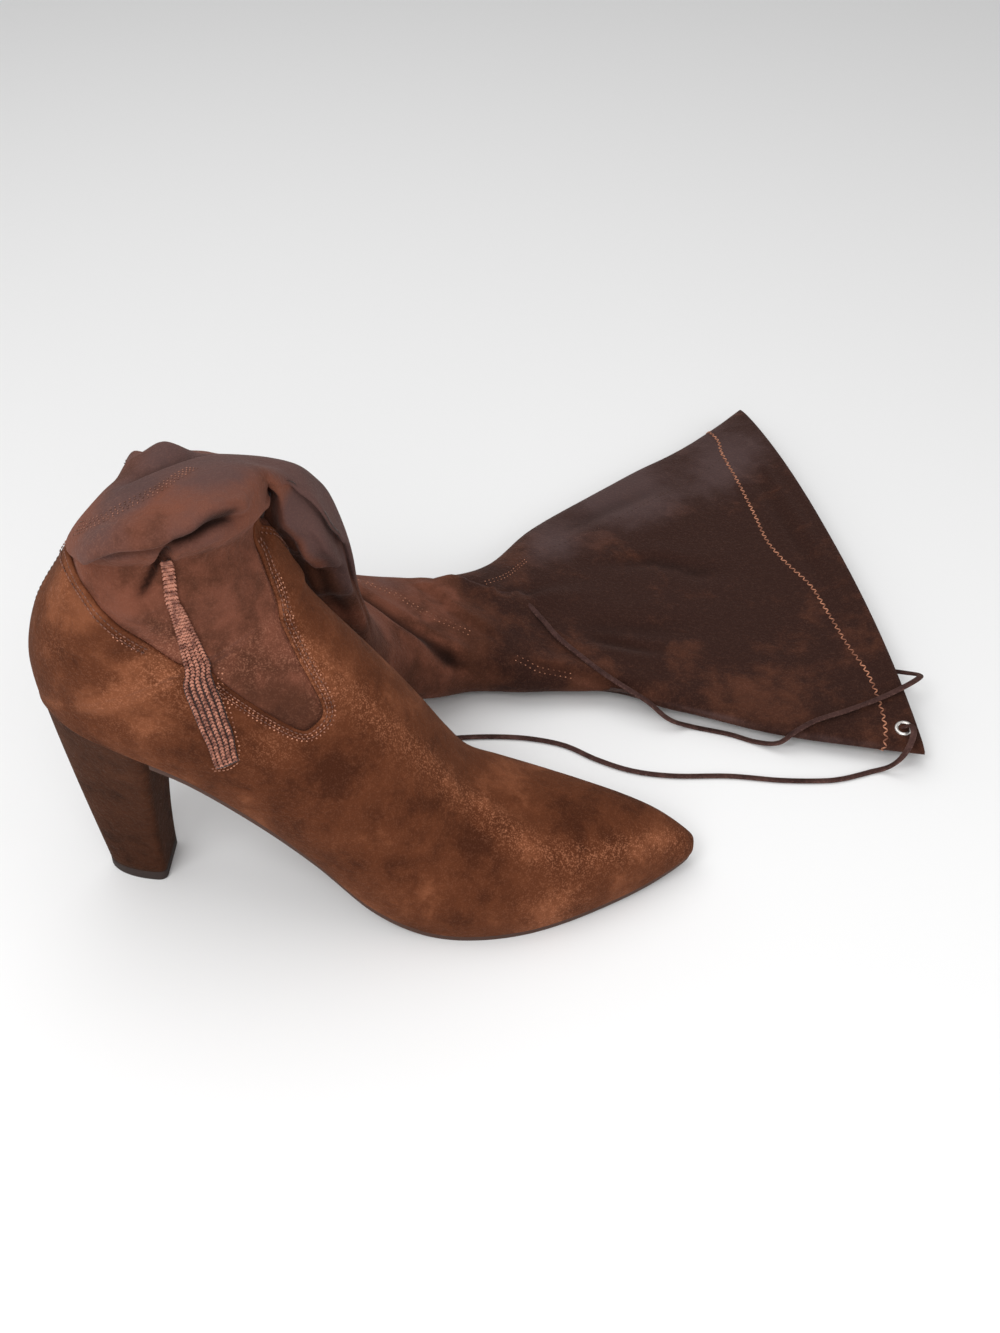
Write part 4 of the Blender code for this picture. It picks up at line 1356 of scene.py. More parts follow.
@dataclass
class Lace:
    """One free end of the drawstring: a flat cord folded over, with two piped edges.

    Attributes:
        name: The piece's name.
        node: The CAD node that it stands for.
        route: Points of its middle line, in the tables' millimetres.
        far_end: What is on its far end; not used.
        lead: Points before the route, in millimetres from the boot's origin.
        width: Its width in millimetres.
        thickness: Its thickness over a piped edge.
        groove: Depth of the groove between the edges.
        groove_width: Half of the groove's width, as a share of half of the cord's.
        drop: How far its middle lies under the route, so that it lies flat.
        edge_highlight: Strength of the painted highlight along its piped edges.
        sides: Faces round it.
        step: Distance between its rings in millimetres.
        fineness: Straight pieces between two points of the route.
    """

    name: str
    node: str
    route: Sequence[Triple]
    far_end: str
    lead: Sequence[Triple] = ()
    width: float = 2.6
    thickness: float = 1.5
    groove: float = 0.45
    groove_width: float = 0.35
    drop: float = 0.75
    edge_highlight: float = 0.5
    sides: int = 20
    step: float = 1.2
    fineness: int = 24

    def build(self) -> bpy.types.Object:
        """Returns:
            The cord's piece.
        """
        line = self.middle_line()
        run = unit(np.gradient(line, axis=0))
        side = unit(np.cross(run, [[0.0, 0.0, 1.0]]))
        up = np.cross(side, run)
        angle = np.linspace(0, 2 * math.pi, self.sides + 1)
        profile = np.stack([self.width / 2 * np.cos(angle),
                            self.edge_height(np.cos(angle)) * np.sin(angle)], axis=1)

        def shape(across: Array, along: Array) -> Shaped:
            """Points and painted values for shares round and along the cord.

            Args:
                across: Shares round the cord, 0 to 1.
                along: Shares along it, 0 to 1.

            Returns:
                The points, and the painted values by layer.
            """
            corner = np.rint(across * self.sides).astype(int) % self.sides
            row = np.rint(along * (len(line) - 1)).astype(int)
            points = (line[row] + side[row] * profile[corner, :1] + up[row] * profile[corner, 1:])
            # Painted highlight along both piped edges.
            return points, {"glow": np.abs(np.cos(angle[corner])) ** 4 * self.edge_highlight}

        bm = mapped_grid(self.sides, len(line) - 1, shape)
        close_tube(bm)
        piece = make_piece(self.name, bm, [Finish.LACE.dress()], [self.node])
        return piece

    def edge_height(self, share: Array) -> Array:
        """Half of the cord's thickness at a share of its half width."""
        hollow = self.groove / 2 * np.exp(-(share / self.groove_width) ** 2)
        return self.thickness / 2 - hollow

    def middle_line(self) -> Array:
        """Even points of the cord's middle line, in millimetres from the boot's origin.

        Returns:
            The points, a row each.
        """
        route = np.array(self.route, float) - [HEEL_CENTRE_X, 0.0, self.drop]
        if self.lead:
            route = np.concatenate([np.array(self.lead, float), route])
        dense = Table(route).between(self.fineness)
        return even_points(dense, round(run_along(dense)[-1] / self.step) + 1)


@dataclass
class FootPart:
    """Foot part of the upper, from the toe to the scalloped top line.

    Attributes:
        skin: The skin that it follows.
        columns: Faces round it.
        level_rings: Faces from the toe to the level rings' end.
        top_rings: Faces from there to the top line.
        edge_rise: How far the folded edge stands out.
        edge_width: How wide the folded edge is.
    """

    skin: Skin
    columns: int = 216
    level_rings: int = 96
    top_rings: int = 96
    edge_rise: float = 0.55
    edge_width: float = 3.2

    def build(self) -> bpy.types.Object:
        """Makes the foot part with its wall.

        Returns:
            The foot part's piece.
        """
        bm = mapped_grid(self.columns, self.level_rings + self.top_rings, self.shape)
        piece = make_piece("foot_part", bm, [Finish.CHESTNUT.dress(), Finish.LINING.dress()],
                           ["upper_foot"])
        give_wall(piece, WALL, 1)
        return piece

    def shape(self, across: Array, along: Array) -> Shaped:
        """Points and painted values for shares across and along the mesh.

        Args:
            across: Shares across the mesh, 0 to 1.
            along: Shares along it, 0 to 1.

        Returns:
            The points, and the painted values by layer.
        """
        top_column, top_place = top_line_at(across)
        split = self.level_rings / (self.level_rings + self.top_rings)
        level = np.minimum(along / split, 1.0) * LEVEL_PLACE
        rest = np.maximum((along - split) / (1 - split), 0.0)
        place = level + (top_place - LEVEL_PLACE) * rest
        even = 2 * across - 1
        column = even + (top_column - even) * smooth_step(place / LEVEL_PLACE)
        spots = Spots(place, column_around(column, place))
        to_edge = (top_place - place) * spots.along
        edge = self.edge_rise * np.exp(-(to_edge / self.edge_width) ** 2)
        points, _ = self.skin.frame(spots.place, spots.around, edge)
        return points, paint_layers(self.skin, spots)


@dataclass
class Shaft:
    """Stretch sleeve, from under the foot part's edge to the collar.

    Attributes:
        skin: The skin that it follows.
        columns: Faces round it.
        rings: Number of rings up to each place in turn, from the seam to the collar.
        tuck: How far it reaches under the foot part's edge, in millimetres.
        sunk: How deep it lies there.
        rise_length: Millimetres past the edge over which it comes up to the skin.
        even_after: Places past the ankle after which its columns are even.
    """

    skin: Skin
    columns: int = 176
    rings: tuple[tuple[float, int], ...] = ((CREASE_PLACE, 36), (25.0, 64), (30.0, 44),
                                            (33.5, 56), (COLLAR, 52))
    tuck: float = 2.4
    sunk: float = 0.8
    rise_length: float = 5.0
    even_after: float = 4.0

    def build(self) -> bpy.types.Object:
        """Makes the sleeve with its wall.

        Returns:
            The sleeve's piece.
        """
        bm = mapped_grid(self.columns, self.ring_count(), self.shape)
        piece = make_piece("shaft_sleeve", bm, [Finish.STRETCH.dress(), Finish.LINING.dress()],
                           ["shaft_inner", "shaft_outer"])
        give_wall(piece, SHAFT_WALL, 1)
        return piece

    def ring_count(self) -> int:
        """Number of rings in all."""
        return sum(count for _, count in self.rings)

    def shape(self, across: Array, along: Array) -> Shaped:
        """Points and painted values for shares across and along the mesh.

        Args:
            across: Shares across the mesh, 0 to 1.
            along: Shares along it, 0 to 1.

        Returns:
            The points, and the painted values by layer.
        """
        top_column, top_place = top_line_at(across)
        start = top_place - self.tuck / Spots(top_place, top_column).along
        ring = along * self.ring_count()
        place, before, done = start, start, 0
        for end, count in self.rings:
            share = np.clip((ring - done) / count, 0.0, 1.0)
            place = place + (end - before) * share
            before, done = np.full(place.shape, float(end)), done + count
        even = 2 * across - 1
        eased = 1 - smooth_step((place - ANKLE) / self.even_after)
        column = even + (top_column - even) * eased
        spots = Spots(place, column_around(column, place))
        past_edge = (place - top_place) * spots.along
        height = -self.sunk * (1 - smooth_step(past_edge / self.rise_length))
        points, _ = self.skin.frame(spots.place, spots.around, height)
        return points, paint_layers(self.skin, spots, on_shaft=True)


def top_line_at(across: Array) -> tuple[Array, Array]:
    """Column and place of the top line for shares across the mesh."""
    column, place = TOP_TABLE.read(across * (len(TOP_LINE) - 1)).T
    return column, place


def paint_layers(skin: Skin, spots: Spots, on_shaft: bool = False) -> dict[str, Array]:
    """Values painted on the skin: lightness, partly the nap's own and partly painted light;
    painted highlights; grey, partly painted sheen and partly raised nap; and painted shade in its
    creases.

    Args:
        skin: The skin.
        spots: Where to read them.
        on_shaft: Whether the skin is the shaft's.

    Returns:
        A value for each spot, by the layer's name.
    """
    none = np.zeros(spots.place.shape)
    shaft_tone_and_light = SHAFT_TONE_AND_LIGHT.read(np.maximum(spots.place - ANKLE + 1, 0.0))[:, 0]
    layers = {"tone": shaft_tone_and_light if on_shaft else none, "glow": none, "sheen_and_nap_grey": none}
    for name, patches in (("tone", TONE_AND_LIGHT_PATCHES), ("glow", HIGHLIGHT_PATCHES), ("sheen_and_nap_grey", SHEEN_AND_NAP_PATCHES)):
        for patch in patches:
            layers[name] = layers[name] + patch.value(spots)
    # Bands of painted highlight.
    for route, width, strength in HIGHLIGHT_BANDS:
        distance, _ = route_distance(route, spots)
        layers["glow"] = layers["glow"] + strength * np.exp(-(distance / width) ** 2)
    # Painted shade, from how deep each crease or lip's hollow is.
    troughs = none
    for fold in skin.folds:
        if fold.form is not FoldForm.RIDGE:
            troughs = troughs - np.minimum(fold.height(spots), 0.0)
    layers["shade"] = np.clip(troughs / SHADE_DEPTH, 0.0, 1.0)
    layers["glow"] = np.clip(layers["glow"], 0.0, 1.0)
    return layers


@dataclass
class Zip:
    """Closed inner-ankle zip: its tape, and rows of small links that look like chain braid.

    Attributes:
        skin: The skin that it lies on.
        rows: Its middle line from the bottom up: place, around and the tape's width.
        rise: Height of the tape's edges over the skin in millimetres.
        crown: How much higher its middle is.
        tape_wall: Thickness of the tape.
        links: Where the pairs of rows of links run, as shares of the braid's half width.
        braid: Width of the braid as a share of the tape's.
        row_gap: Half of the distance between the two rows of a pair.
        pitch: Distance between links.
        slant: Angle of a link off its row in degrees; the rows of a pair slant opposite ways.
        link_size: Half of a link's length, width and height.
        clear: Share of the tape's length without links at each end.
        fineness: Spots along a row from which its links are spaced out.
        across: Faces across the tape.
        along: Faces along it.
    """

    skin: Skin
    rows: Sequence[Triple] = (
        (11.17, -0.606, 9.2), (11.83, -0.504, 10.4), (12.9, -0.428, 10.8), (14.48, -0.384, 10.0),
        (16.3, -0.371, 7.8), (17.5, -0.370, 5.6), (18.45, -0.380, 4.2), (19.31, -0.405, 3.3),
        (19.9, -0.428, 2.9), (20.5, -0.437, 2.7))
    rise: float = 0.6
    crown: float = 0.5
    tape_wall: float = 0.5
    links: tuple[float, ...] = (-0.92, -0.46, 0.0, 0.46, 0.92)
    braid: float = 0.86
    row_gap: float = 0.28
    pitch: float = 1.35
    slant: float = 34.0
    link_size: Triple = (0.88, 0.42, 0.52)
    clear: float = 0.01
    fineness: int = 140
    across: int = 14
    along: int = 110

    def build(self) -> None:
        """Makes the tape and its rows of links."""
        bm = mapped_grid(self.across, self.along, self.tape_shape)
        tape = make_piece("zip_woven_tape", bm, [Finish.TAPE.dress()],
                          ["zip_tape"])
        give_wall(tape, self.tape_wall, 0)
        spots = []
        for share in self.links:
            for side in (-1, 1):
                spots += self.slanted(self.line(share, side * self.row_gap), self.slant * side)
        sew("zip_links", spots, self.link_size, Finish.COIL, ["zip_coil"])

    def centre(self, along: Array) -> tuple[Spots, Array]:
        """Spots of the middle line, and the tape's half width, at shares along the zip."""
        place, around, width = Table(self.rows).read(along * (len(self.rows) - 1)).T
        return Spots(place, around), width / 2

    def tape_shape(self, across: Array, along: Array) -> Shaped:
        """Points of the tape for shares across and along it.

        Args:
            across: Shares across the mesh, 0 to 1.
            along: Shares along it, 0 to 1.

        Returns:
            The points, and the painted values by layer.
        """
        middle, half = self.centre(along)
        aside = 2 * across - 1
        height = self.rise + self.crown * (1 - aside ** 2)
        around = middle.around + aside * half / middle.across
        points, _ = self.skin.frame(middle.place, around, height)
        return points, {}

    def line(self, share: float, offset: float) -> SkinLine:
        """Line along the tape at a share of the braid's half width, and an offset from there.

        Args:
            share: Share of the half width, -1 to 1.
            offset: Further distance in millimetres.

        Returns:
            The line on the skin.
        """
        middle, half = self.centre(np.linspace(self.clear, 1 - self.clear, self.fineness))
        aside = share * half * self.braid + offset
        return SkinLine(middle.place, middle.around + aside / middle.across)

    def slanted(self, line: SkinLine, slant: float) -> list[Stitch]:
        """Links all slanted one way along a line.

        Args:
            line: Line that they follow.
            slant: Their slant in degrees.

        Returns:
            Point, direction and normal of each link.
        """
        points, normals = line.spots(self.skin, self.pitch, self.rise + self.crown)
        runs = unit(np.gradient(points, axis=0))
        turn = math.radians(slant)
        turned = [Matrix.Rotation(turn, 3, Vector(normal)) @ Vector(run)
                  for run, normal in zip(runs, normals)]
        return [(point, np.array(direction), normal)
                for point, direction, normal in zip(points, turned, normals)]


@dataclass
class Seam:
    """Rows of stitches along one seam.

    Attributes:
        name: The piece's name.
        route: The seam's line on the skin.
        rows: How far each row runs beside the line, in millimetres.
        pitch: Distance between stitches.
        size: Half of a stitch's length, width and height.
        slant: Angle of a zigzag's stitches, in degrees.
        height: Height of the stitches' middles over the skin.
        finish: The thread.
        slot: The record's material slot; not used.
    """

    name: str
    route: Route
    rows: tuple[float, ...] = (0.0,)
    pitch: float = 2.3
    size: Triple = (0.8, 0.27, 0.22)
    slant: float = 0.0
    height: float = 0.12
    finish: Finish = Finish.COPPER
    slot: str = "chestnut_suede"

    def build(self, skin: Skin) -> bpy.types.Object:
        """Sews the seam onto the skin.

        Args:
            skin: The boot's skin.

        Returns:
            The seam's piece.
        """
        line = SkinLine.through(self.route)
        spots = []
        for row in self.rows:
            spots += stitch_spots(skin, line.shifted(row), self.pitch, self.height, self.slant)
        return sew(self.name, spots, self.size, self.finish)


@dataclass
class Eyelet:
    """Two-flange nickel eyelet in the hem.

    Attributes:
        name: The piece's name.
        node: The CAD node that it stands for.
        place: Its place along the boot.
        around: Its place round the section.
        outer: Radius of its flanges in millimetres.
        inner: Radius of its hole.
        flange: Height of a flange's rounded edge.
        reach: How far its flanges stand out from the middle of the wall.
        turns: Faces round it.
        rounding: Corners of a flange's rounded edge.
    """

    name: str
    node: str
    place: float
    around: float
    outer: float = 3.9
    inner: float = 2.1
    flange: float = 0.75
    reach: float = 1.3
    turns: int = 40
    rounding: int = 7

    def build(self, skin: Skin) -> bpy.types.Object:
        """Turns the eyelet's rounded profile about its axis.

        Args:
            skin: The boot's skin.

        Returns:
            The eyelet's piece.
        """
        middle, normal = self.frame(skin)
        bm = bmesh.new()
        axis = Vector(normal)
        side = axis.orthogonal().normalized()
        corners = [bm.verts.new((Vector(middle) + side * radius + axis * height) * MM)
                   for radius, height in self.profile()]
        edges = [bm.edges.new(pair) for pair in zip(corners, corners[1:] + corners[:1])]
        bmesh.ops.spin(bm, geom=corners + edges, cent=Vector(middle) * MM, axis=axis,
                       angle=2 * math.pi, steps=self.turns, use_merge=True)
        bmesh.ops.recalc_face_normals(bm, faces=bm.faces)
        return make_piece(self.name, bm, [Finish.NICKEL.dress()], [self.node])

    def frame(self, skin: Skin) -> tuple[Array, Array]:
        """Middle of the wall at the eyelet and its outward normal, in millimetres.

        Args:
            skin: The boot's skin.

        Returns:
            The point and the normal.
        """
        spot = np.array([self.place]), np.array([self.around])
        points, normals = skin.frame(*spot, np.array([-SHAFT_WALL / 2]))
        return points[0], normals[0]

    def profile(self) -> list[tuple[float, float]]:
        """Closed profile of radii and heights, with rounded flanges.

        Returns:
            Its corners, a radius and a height each.
        """
        middle, half = (self.outer + self.inner) / 2, (self.outer - self.inner) / 2
        corners = []
        for side in (1, -1):
            for turn in np.linspace(0, math.pi, self.rounding)[::side]:
                rounded = self.reach - self.flange + self.flange * math.sin(turn)
                corners.append((middle + half * math.cos(turn), side * rounded))
        return corners


def underside(place: Array, side: Array) -> tuple[Array, Array, Array, Array]:
    """Middle line of the foot's underside as x, y and z, and its half width on one side."""
    _, _, base_x, base_z, mid_y, _, _, sole_in, sole_out = FOOT_TABLE.read(place).T
    return base_x, mid_y, np.maximum(base_z, SOLE_FLAT), np.where(side < 0, sole_in, sole_out)


def sole_edge(place: Array, side: Array, inset: float, height: Array | float) -> Array:
    """Points beside the edge of the foot's underside.

    Args:
        place: Places along the boot.
        side: -1 on the inner side, 1 on the outer side, and shares between across the sole.
        inset: How far they are moved in from the outline, in millimetres.
        height: How far they are moved up.

    Returns:
        Points in millimetres from the boot's origin.
    """
    base_x, mid_y, base_z, half = underside(place, side)
    ahead, behind = underside(place + NUDGE, side), underside(place - NUDGE, side)
    run_x, run_half = ahead[0] - behind[0], ahead[3] - behind[3]
    length = np.maximum(np.hypot(run_x, run_half), TINY)
    x = base_x + run_half / length * inset * np.sign(run_x)
    y_half = np.maximum(half.clip(0.0) - np.abs(run_x) / length * inset, 0.0)
    return np.stack([x - HEEL_CENTRE_X, mid_y + side * y_half, base_z + height], axis=1)


@dataclass
class SolePlate:
    """Plate under or inside the foot, with rounded edges.

    Attributes:
        name: The piece's name.
        node: The CAD node that it stands for.
        finish: Its finish.
        slot: The record's material slot; not used.
        first: Place where it starts.
        last: Place where it ends.
        inset: How far its edge stands in from the foot's outline, in millimetres.
        top: Height of its top over the foot's underside.
        thickness: Its thickness.
        round_edge: How far its edges are rounded.
        corner: Angle in degrees past which an edge is rounded.
        across: Faces across its top, and across its underside.
        along: Faces along it.
    """

    name: str
    node: str
    finish: Finish
    slot: str
    first: float
    last: float
    inset: float
    top: float
    thickness: float
    round_edge: float = 0.5
    corner: float = 50.0
    across: int = 12
    along: int = 120

    def build(self) -> bpy.types.Object:
        """Makes the plate as a closed tube of sections with filled ends.

        Returns:
            The plate's piece.
        """
        bm = mapped_grid(self.count(), self.along, self.shape)
        close_tube(bm)
        piece = make_piece(self.name, bm, [self.finish.dress()], [self.node])
        edge = piece.modifiers.new("edge", "BEVEL")
        edge.width, edge.segments = self.round_edge * MM, 2
        edge.limit_method, edge.angle_limit = "ANGLE", math.radians(self.corner)
        return piece

    def count(self) -> int:
        """Faces round one section."""
        return 2 * (self.across + 1)

    def shape(self, across: Array, along: Array) -> Shaped:
        """Points for shares round and along the plate.

        Args:
            across: Shares round the plate, 0 to 1.
            along: Shares along it, 0 to 1.

        Returns:
            The points, and the painted values by layer.
        """
        place = self.first + (self.last - self.first) * along
        index = np.rint(across * self.count()).astype(int) % self.count()
        upper = index <= self.across
        share = np.where(upper, index, self.count() - 1 - index) / self.across
        height = np.where(upper, self.top, self.top - self.thickness)
        return sole_edge(place, 2 * share - 1, self.inset, height), {}


@dataclass
class Heel:
    """Tapered block heel in suede on its rubber lift.

    Attributes:
        corners: Faces round it.
        rings: Faces from the seat to the lift.
        lift_rings: Faces from the lift's top to its bottom.
        fineness: Spots along each side of the seat from which its outline is made.
        soften: How many spots of its outline are averaged to round the breast's edges.
        inset: How far its seat stands in from the foot's outline, in millimetres.
        overlap: How far its seat reaches up into the foot part, in millimetres.
        lift_gap: How far the block ends above the lift's top, in millimetres.
        lift_tuck: Share by which the lift's top and bottom edges are drawn in.
        base_shade: How dark the block gets at its foot.
    """

    corners: int = 120
    rings: int = 44
    lift_rings: int = 6
    fineness: int = 60
    soften: int = 5
    inset: float = 0.35
    overlap: float = 0.4
    lift_gap: float = 0.1
    lift_tuck: float = 0.03
    base_shade: float = 0.25

    def build(self) -> None:
        """Makes the heel and its lift."""
        bm = mapped_grid(self.corners, self.rings, self.block_shape)
        close_tube(bm)
        make_piece("heel_cover", bm, [Finish.HEEL.dress()], ["heel_block"])
        bm = mapped_grid(self.corners, self.lift_rings, self.lift_shape)
        close_tube(bm)
        make_piece("heel_lift", bm, [Finish.LIFT.dress()], ["top_lift"])

    def outline(self) -> Array:
        """Closed outline of the seat, evenly spaced, with softened corners.

        Returns:
            Its points, a row each.
        """
        place = np.linspace(BREAST_PLACE, SEAT_END, self.fineness)
        inner, outer = (sole_edge(place, np.full(self.fineness, side), self.inset, self.overlap)
                        for side in (-1.0, 1.0))
        loop = np.concatenate([inner, outer[::-1], inner[:1]])
        even = even_points(loop, self.corners + 1)[:-1]
        spans = range(-self.soften, self.soften + 1)
        return np.mean([np.roll(even, span, axis=0) for span in spans], axis=0)

    def side(self, across: Array, share: Array) -> Array:
        """Points of the heel's side; share runs from 0 at the seat to 1 at the lift.

        Args:
            across: Shares round the heel, 0 to 1.
            share: Shares from the seat to the lift.

        Returns:
            The points, a row each.
        """
        outline = self.outline()
        top = outline[np.rint(across * self.corners).astype(int) % self.corners]
        seat_x = top[:, 0] + HEEL_CENTRE_X
        run = (seat_x - SEAT_BACK) / (SEAT_FRONT - SEAT_BACK)
        base_x = HEEL_BASE_BACK + (HEEL_BASE_FRONT - HEEL_BASE_BACK) * run
        base_y = top[:, 1] * HEEL_BASE_HALF / SEAT_HALF
        base_z = LIFT_THICK + self.lift_gap
        mix_x = share ** HEEL_BACK_LAW * (1 - run) + (1 - (1 - share) ** HEEL_FRONT_LAW) * run
        mix_y = 1 - (1 - share) ** HEEL_SIDE_LAW
        return np.stack([top[:, 0] + (base_x - seat_x) * mix_x,
                         top[:, 1] + (base_y - top[:, 1]) * mix_y,
                         top[:, 2] + (base_z - top[:, 2]) * share], axis=1)

    def block_shape(self, across: Array, along: Array) -> Shaped:
        """Points and painted shade of the suede block for shares round and down it."""
        return self.side(across, along), {"shade": self.base_shade * along ** 3}

    def lift_shape(self, across: Array, along: Array) -> Shaped:
        """Points of the lift, whose edges are a little rounded.

        Args:
            across: Shares round the lift, 0 to 1.
            along: Shares from its top to the floor.

        Returns:
            The points, and the painted values by layer.
        """
        points = self.side(across, np.ones(across.shape))
        edge = np.minimum(along, 1 - along) * self.lift_rings
        tuck = 1 - self.lift_tuck * (1 - smooth_step(edge))
        middle = points.mean(axis=0)
        points[:, :2] = middle[:2] + (points[:, :2] - middle[:2]) * tuck[:, None]
        points[:, 2] = LIFT_THICK * (1 - along)
        return points, {}


TROUGH, RIDGE, LIP = FoldForm
# Creases and ridges of the skin, from the foot to the collar: form, route, depth and half width
# in millimetres, and then fade and side where they aren't the usual ones.
FOLDS = (
    # The roll hangs over a slanted crease, which branches down beside the zip.
    Fold(LIP, ((19.9, -0.77), (20.82, -0.662), (21.31, -0.575), (21.36, -0.476), (21.45, -0.413),
         (21.56, -0.357), (21.87, -0.291), (21.86, -0.235), (21.8, -0.17), (21.7, -0.11)), 4.2,
         4.2, 0.18, -1),
    Fold(TROUGH, ((21.3, -0.45), (21.42, -0.405), (21.5, -0.357), (21.78, -0.3), (21.86, -0.24),
         (21.82, -0.18)), 3.2, 1.9, 0.2),
    Fold(TROUGH, ((21.3, -0.425), (20.6, -0.44), (19.9, -0.456), (19.49, -0.478),
         (19.15, -0.515)), 3.4, 1.8, 0.2),
    Fold(RIDGE, ((21.8, -0.66), (22.03, -0.583), (22.21, -0.495), (22.36, -0.42), (22.43, -0.328),
         (22.15, -0.2)), 1.0, 5.0, 0.3),
    Fold(RIDGE, ((19.75, -0.61), (19.3, -0.56), (18.8, -0.49), (18.2, -0.452), (17.6, -0.425)),
         1.4, 3.4, 0.3),
    # Back of the roll, and front of the fall.
    Fold(RIDGE, ((23.5, -0.9), (23.8, -0.8), (24.1, -0.7), (24.5, -0.6), (24.8, -0.5)), 3.2, 6.5,
         0.35),
    Fold(TROUGH, ((23.0, -0.78), (23.4, -0.67), (23.9, -0.575), (24.5, -0.5), (25.2, -0.44)), 1.6,
         2.6, 0.3),
    Fold(TROUGH, ((25.6, 0.02), (26.4, 0.06), (27.2, 0.08), (28.0, 0.08), (28.8, 0.08)), 1.2, 6.0,
         0.3),
    Fold(TROUGH, ((26.67, 0.301), (27.53, 0.244), (28.53, 0.211), (29.0, 0.15)), 2.0, 3.4, 0.3),
    # Foot part: its peak, its counter, its sides and the vamp.
    Fold(TROUGH, ((19.22, 0.062), (18.9, 0.02), (18.5, -0.03)), 1.2, 2.0, 0.4),
    Fold(TROUGH, ((20.0, -0.96), (19.6, -0.86), (19.3, -0.762), (19.04, -0.683)), 1.0, 3.0, 0.35),
    Fold(TROUGH, ((8.3, -0.5), (8.78, -0.468), (9.11, -0.358), (9.3, -0.3)), 1.0, 3.2, 0.35),
    Fold(TROUGH, ((6.4, -0.06), (5.89, -0.097), (5.53, -0.109), (4.42, -0.099)), 0.7, 3.0, 0.35),
    Fold(RIDGE, ((9.8, -0.135), (8.07, -0.115), (6.6, -0.12), (5.1, -0.22), (3.6, -0.28)), 0.9,
         6.0, 0.3),
    # Long folds down the fallen shaft.
    Fold(TROUGH, ((24.8, -0.74), (27.0, -0.7), (29.4, -0.68), (31.4, -0.66)), 2.6, 5.0, 0.3),
    Fold(RIDGE, ((25.4, -0.54), (28.0, -0.55), (31.0, -0.57)), 2.4, 7.0, 0.3),
    Fold(TROUGH, ((25.2, -0.35), (28.0, -0.38), (30.6, -0.43)), 2.8, 5.0, 0.3),
    Fold(RIDGE, ((26.0, -0.16), (28.5, -0.2), (30.6, -0.26)), 2.0, 6.0, 0.35),
    Fold(TROUGH, ((24.2, 0.62), (26.5, 0.58), (29.0, 0.55)), 2.0, 5.0, 0.35),
    Fold(TROUGH, ((25.2, 0.86), (27.4, 0.9), (29.6, 0.92)), 1.8, 5.0, 0.35),
    # Twisted neck, where the near half of the flare laps over the far half.
    Fold(LIP, ((31.7, -0.645), (31.98, -0.647), (32.31, -0.64), (32.6, -0.572), (32.86, -0.527),
         (33.11, -0.509), (33.57, -0.499), (34.09, -0.49), (34.9, -0.49)), 4.2, 4.4, 0.22, 1),
    Fold(TROUGH, ((30.2, -0.52), (30.45, -0.474), (31.02, -0.328), (31.8, -0.151),
         (32.24, -0.001)), 3.0, 4.2, 0.25),
    Fold(LIP, ((31.5, -0.63), (31.74, -0.581), (32.07, -0.487), (32.58, -0.385), (33.01, -0.311)),
         2.2, 4.0, 0.3, -1),
    Fold(RIDGE, ((30.5, -0.33), (31.2, -0.25), (31.9, -0.22), (32.6, -0.18)), 2.0, 4.5, 0.3),
    Fold(LIP, ((33.2, -0.19), (33.7, -0.156), (34.25, -0.142), (34.9, -0.14)), 2.2, 3.0, 0.3, -1),
    Fold(TROUGH, ((31.1, -0.86), (31.7, -0.8), (32.4, -0.76)), 2.2, 4.0, 0.35),
    Fold(TROUGH, ((32.0, 0.32), (32.9, 0.4), (33.8, 0.46)), 1.6, 5.0, 0.35),
    # Flare and collar.
    Fold(TROUGH, ((34.1, -0.33), (34.53, -0.317), (34.8, -0.308), (35.3, -0.3)), 1.4, 3.4, 0.35),
    Fold(TROUGH, ((34.4, -0.54), (35.26, -0.529), (35.71, -0.499), (36.3, -0.493)), 2.0, 4.5,
         0.35),
    Fold(TROUGH, ((33.8, -0.36), (34.8, -0.37), (35.8, -0.38)), 1.2, 8.0, 0.4),
    Fold(TROUGH, ((33.9, -0.72), (35.0, -0.74), (36.2, -0.76)), 1.4, 8.0, 0.4),
    Fold(RIDGE, ((37.53, -0.8), (37.49, -0.739), (37.45, -0.635), (37.49, -0.557), (37.59, -0.5),
         (37.7, -0.43)), 1.0, 3.2, 0.3),
    Fold(TROUGH, ((37.2, -0.7), (37.15, -0.6), (37.2, -0.5), (37.3, -0.42)), 0.8, 3.0, 0.35),
)
# Soft dents and swellings: place, around, radius and height in millimetres.
DENTS = (
    Patch(16.4, 0.08, 16.0, 2.4), Patch(18.0, 0.12, 12.0, 1.2),
    Patch(26.6, -0.45, 16.0, 1.6), Patch(28.6, -0.30, 13.0, -1.8), Patch(29.6, -0.56, 12.0, 1.5),
    Patch(35.6, -0.66, 24.0, 1.5), Patch(35.2, -0.24, 22.0, -1.0), Patch(14.2, -0.27, 9.0, -0.9),
    Patch(14.8, 0.44, 14.0, -0.8), Patch(16.5, -0.62, 14.0, 0.8), Patch(18.9, -0.25, 10.0, 0.9),
    Patch(7.6, -0.42, 12.0, -0.5), Patch(9.9, 0.33, 14.0, -0.5), Patch(27.5, -0.85, 12.0, -1.4),
    Patch(32.4, 0.00, 14.0, -3.5), Patch(34.5, -0.01, 13.0, -4.5), Patch(32.95, -0.52, 6.0, 2.0),
)
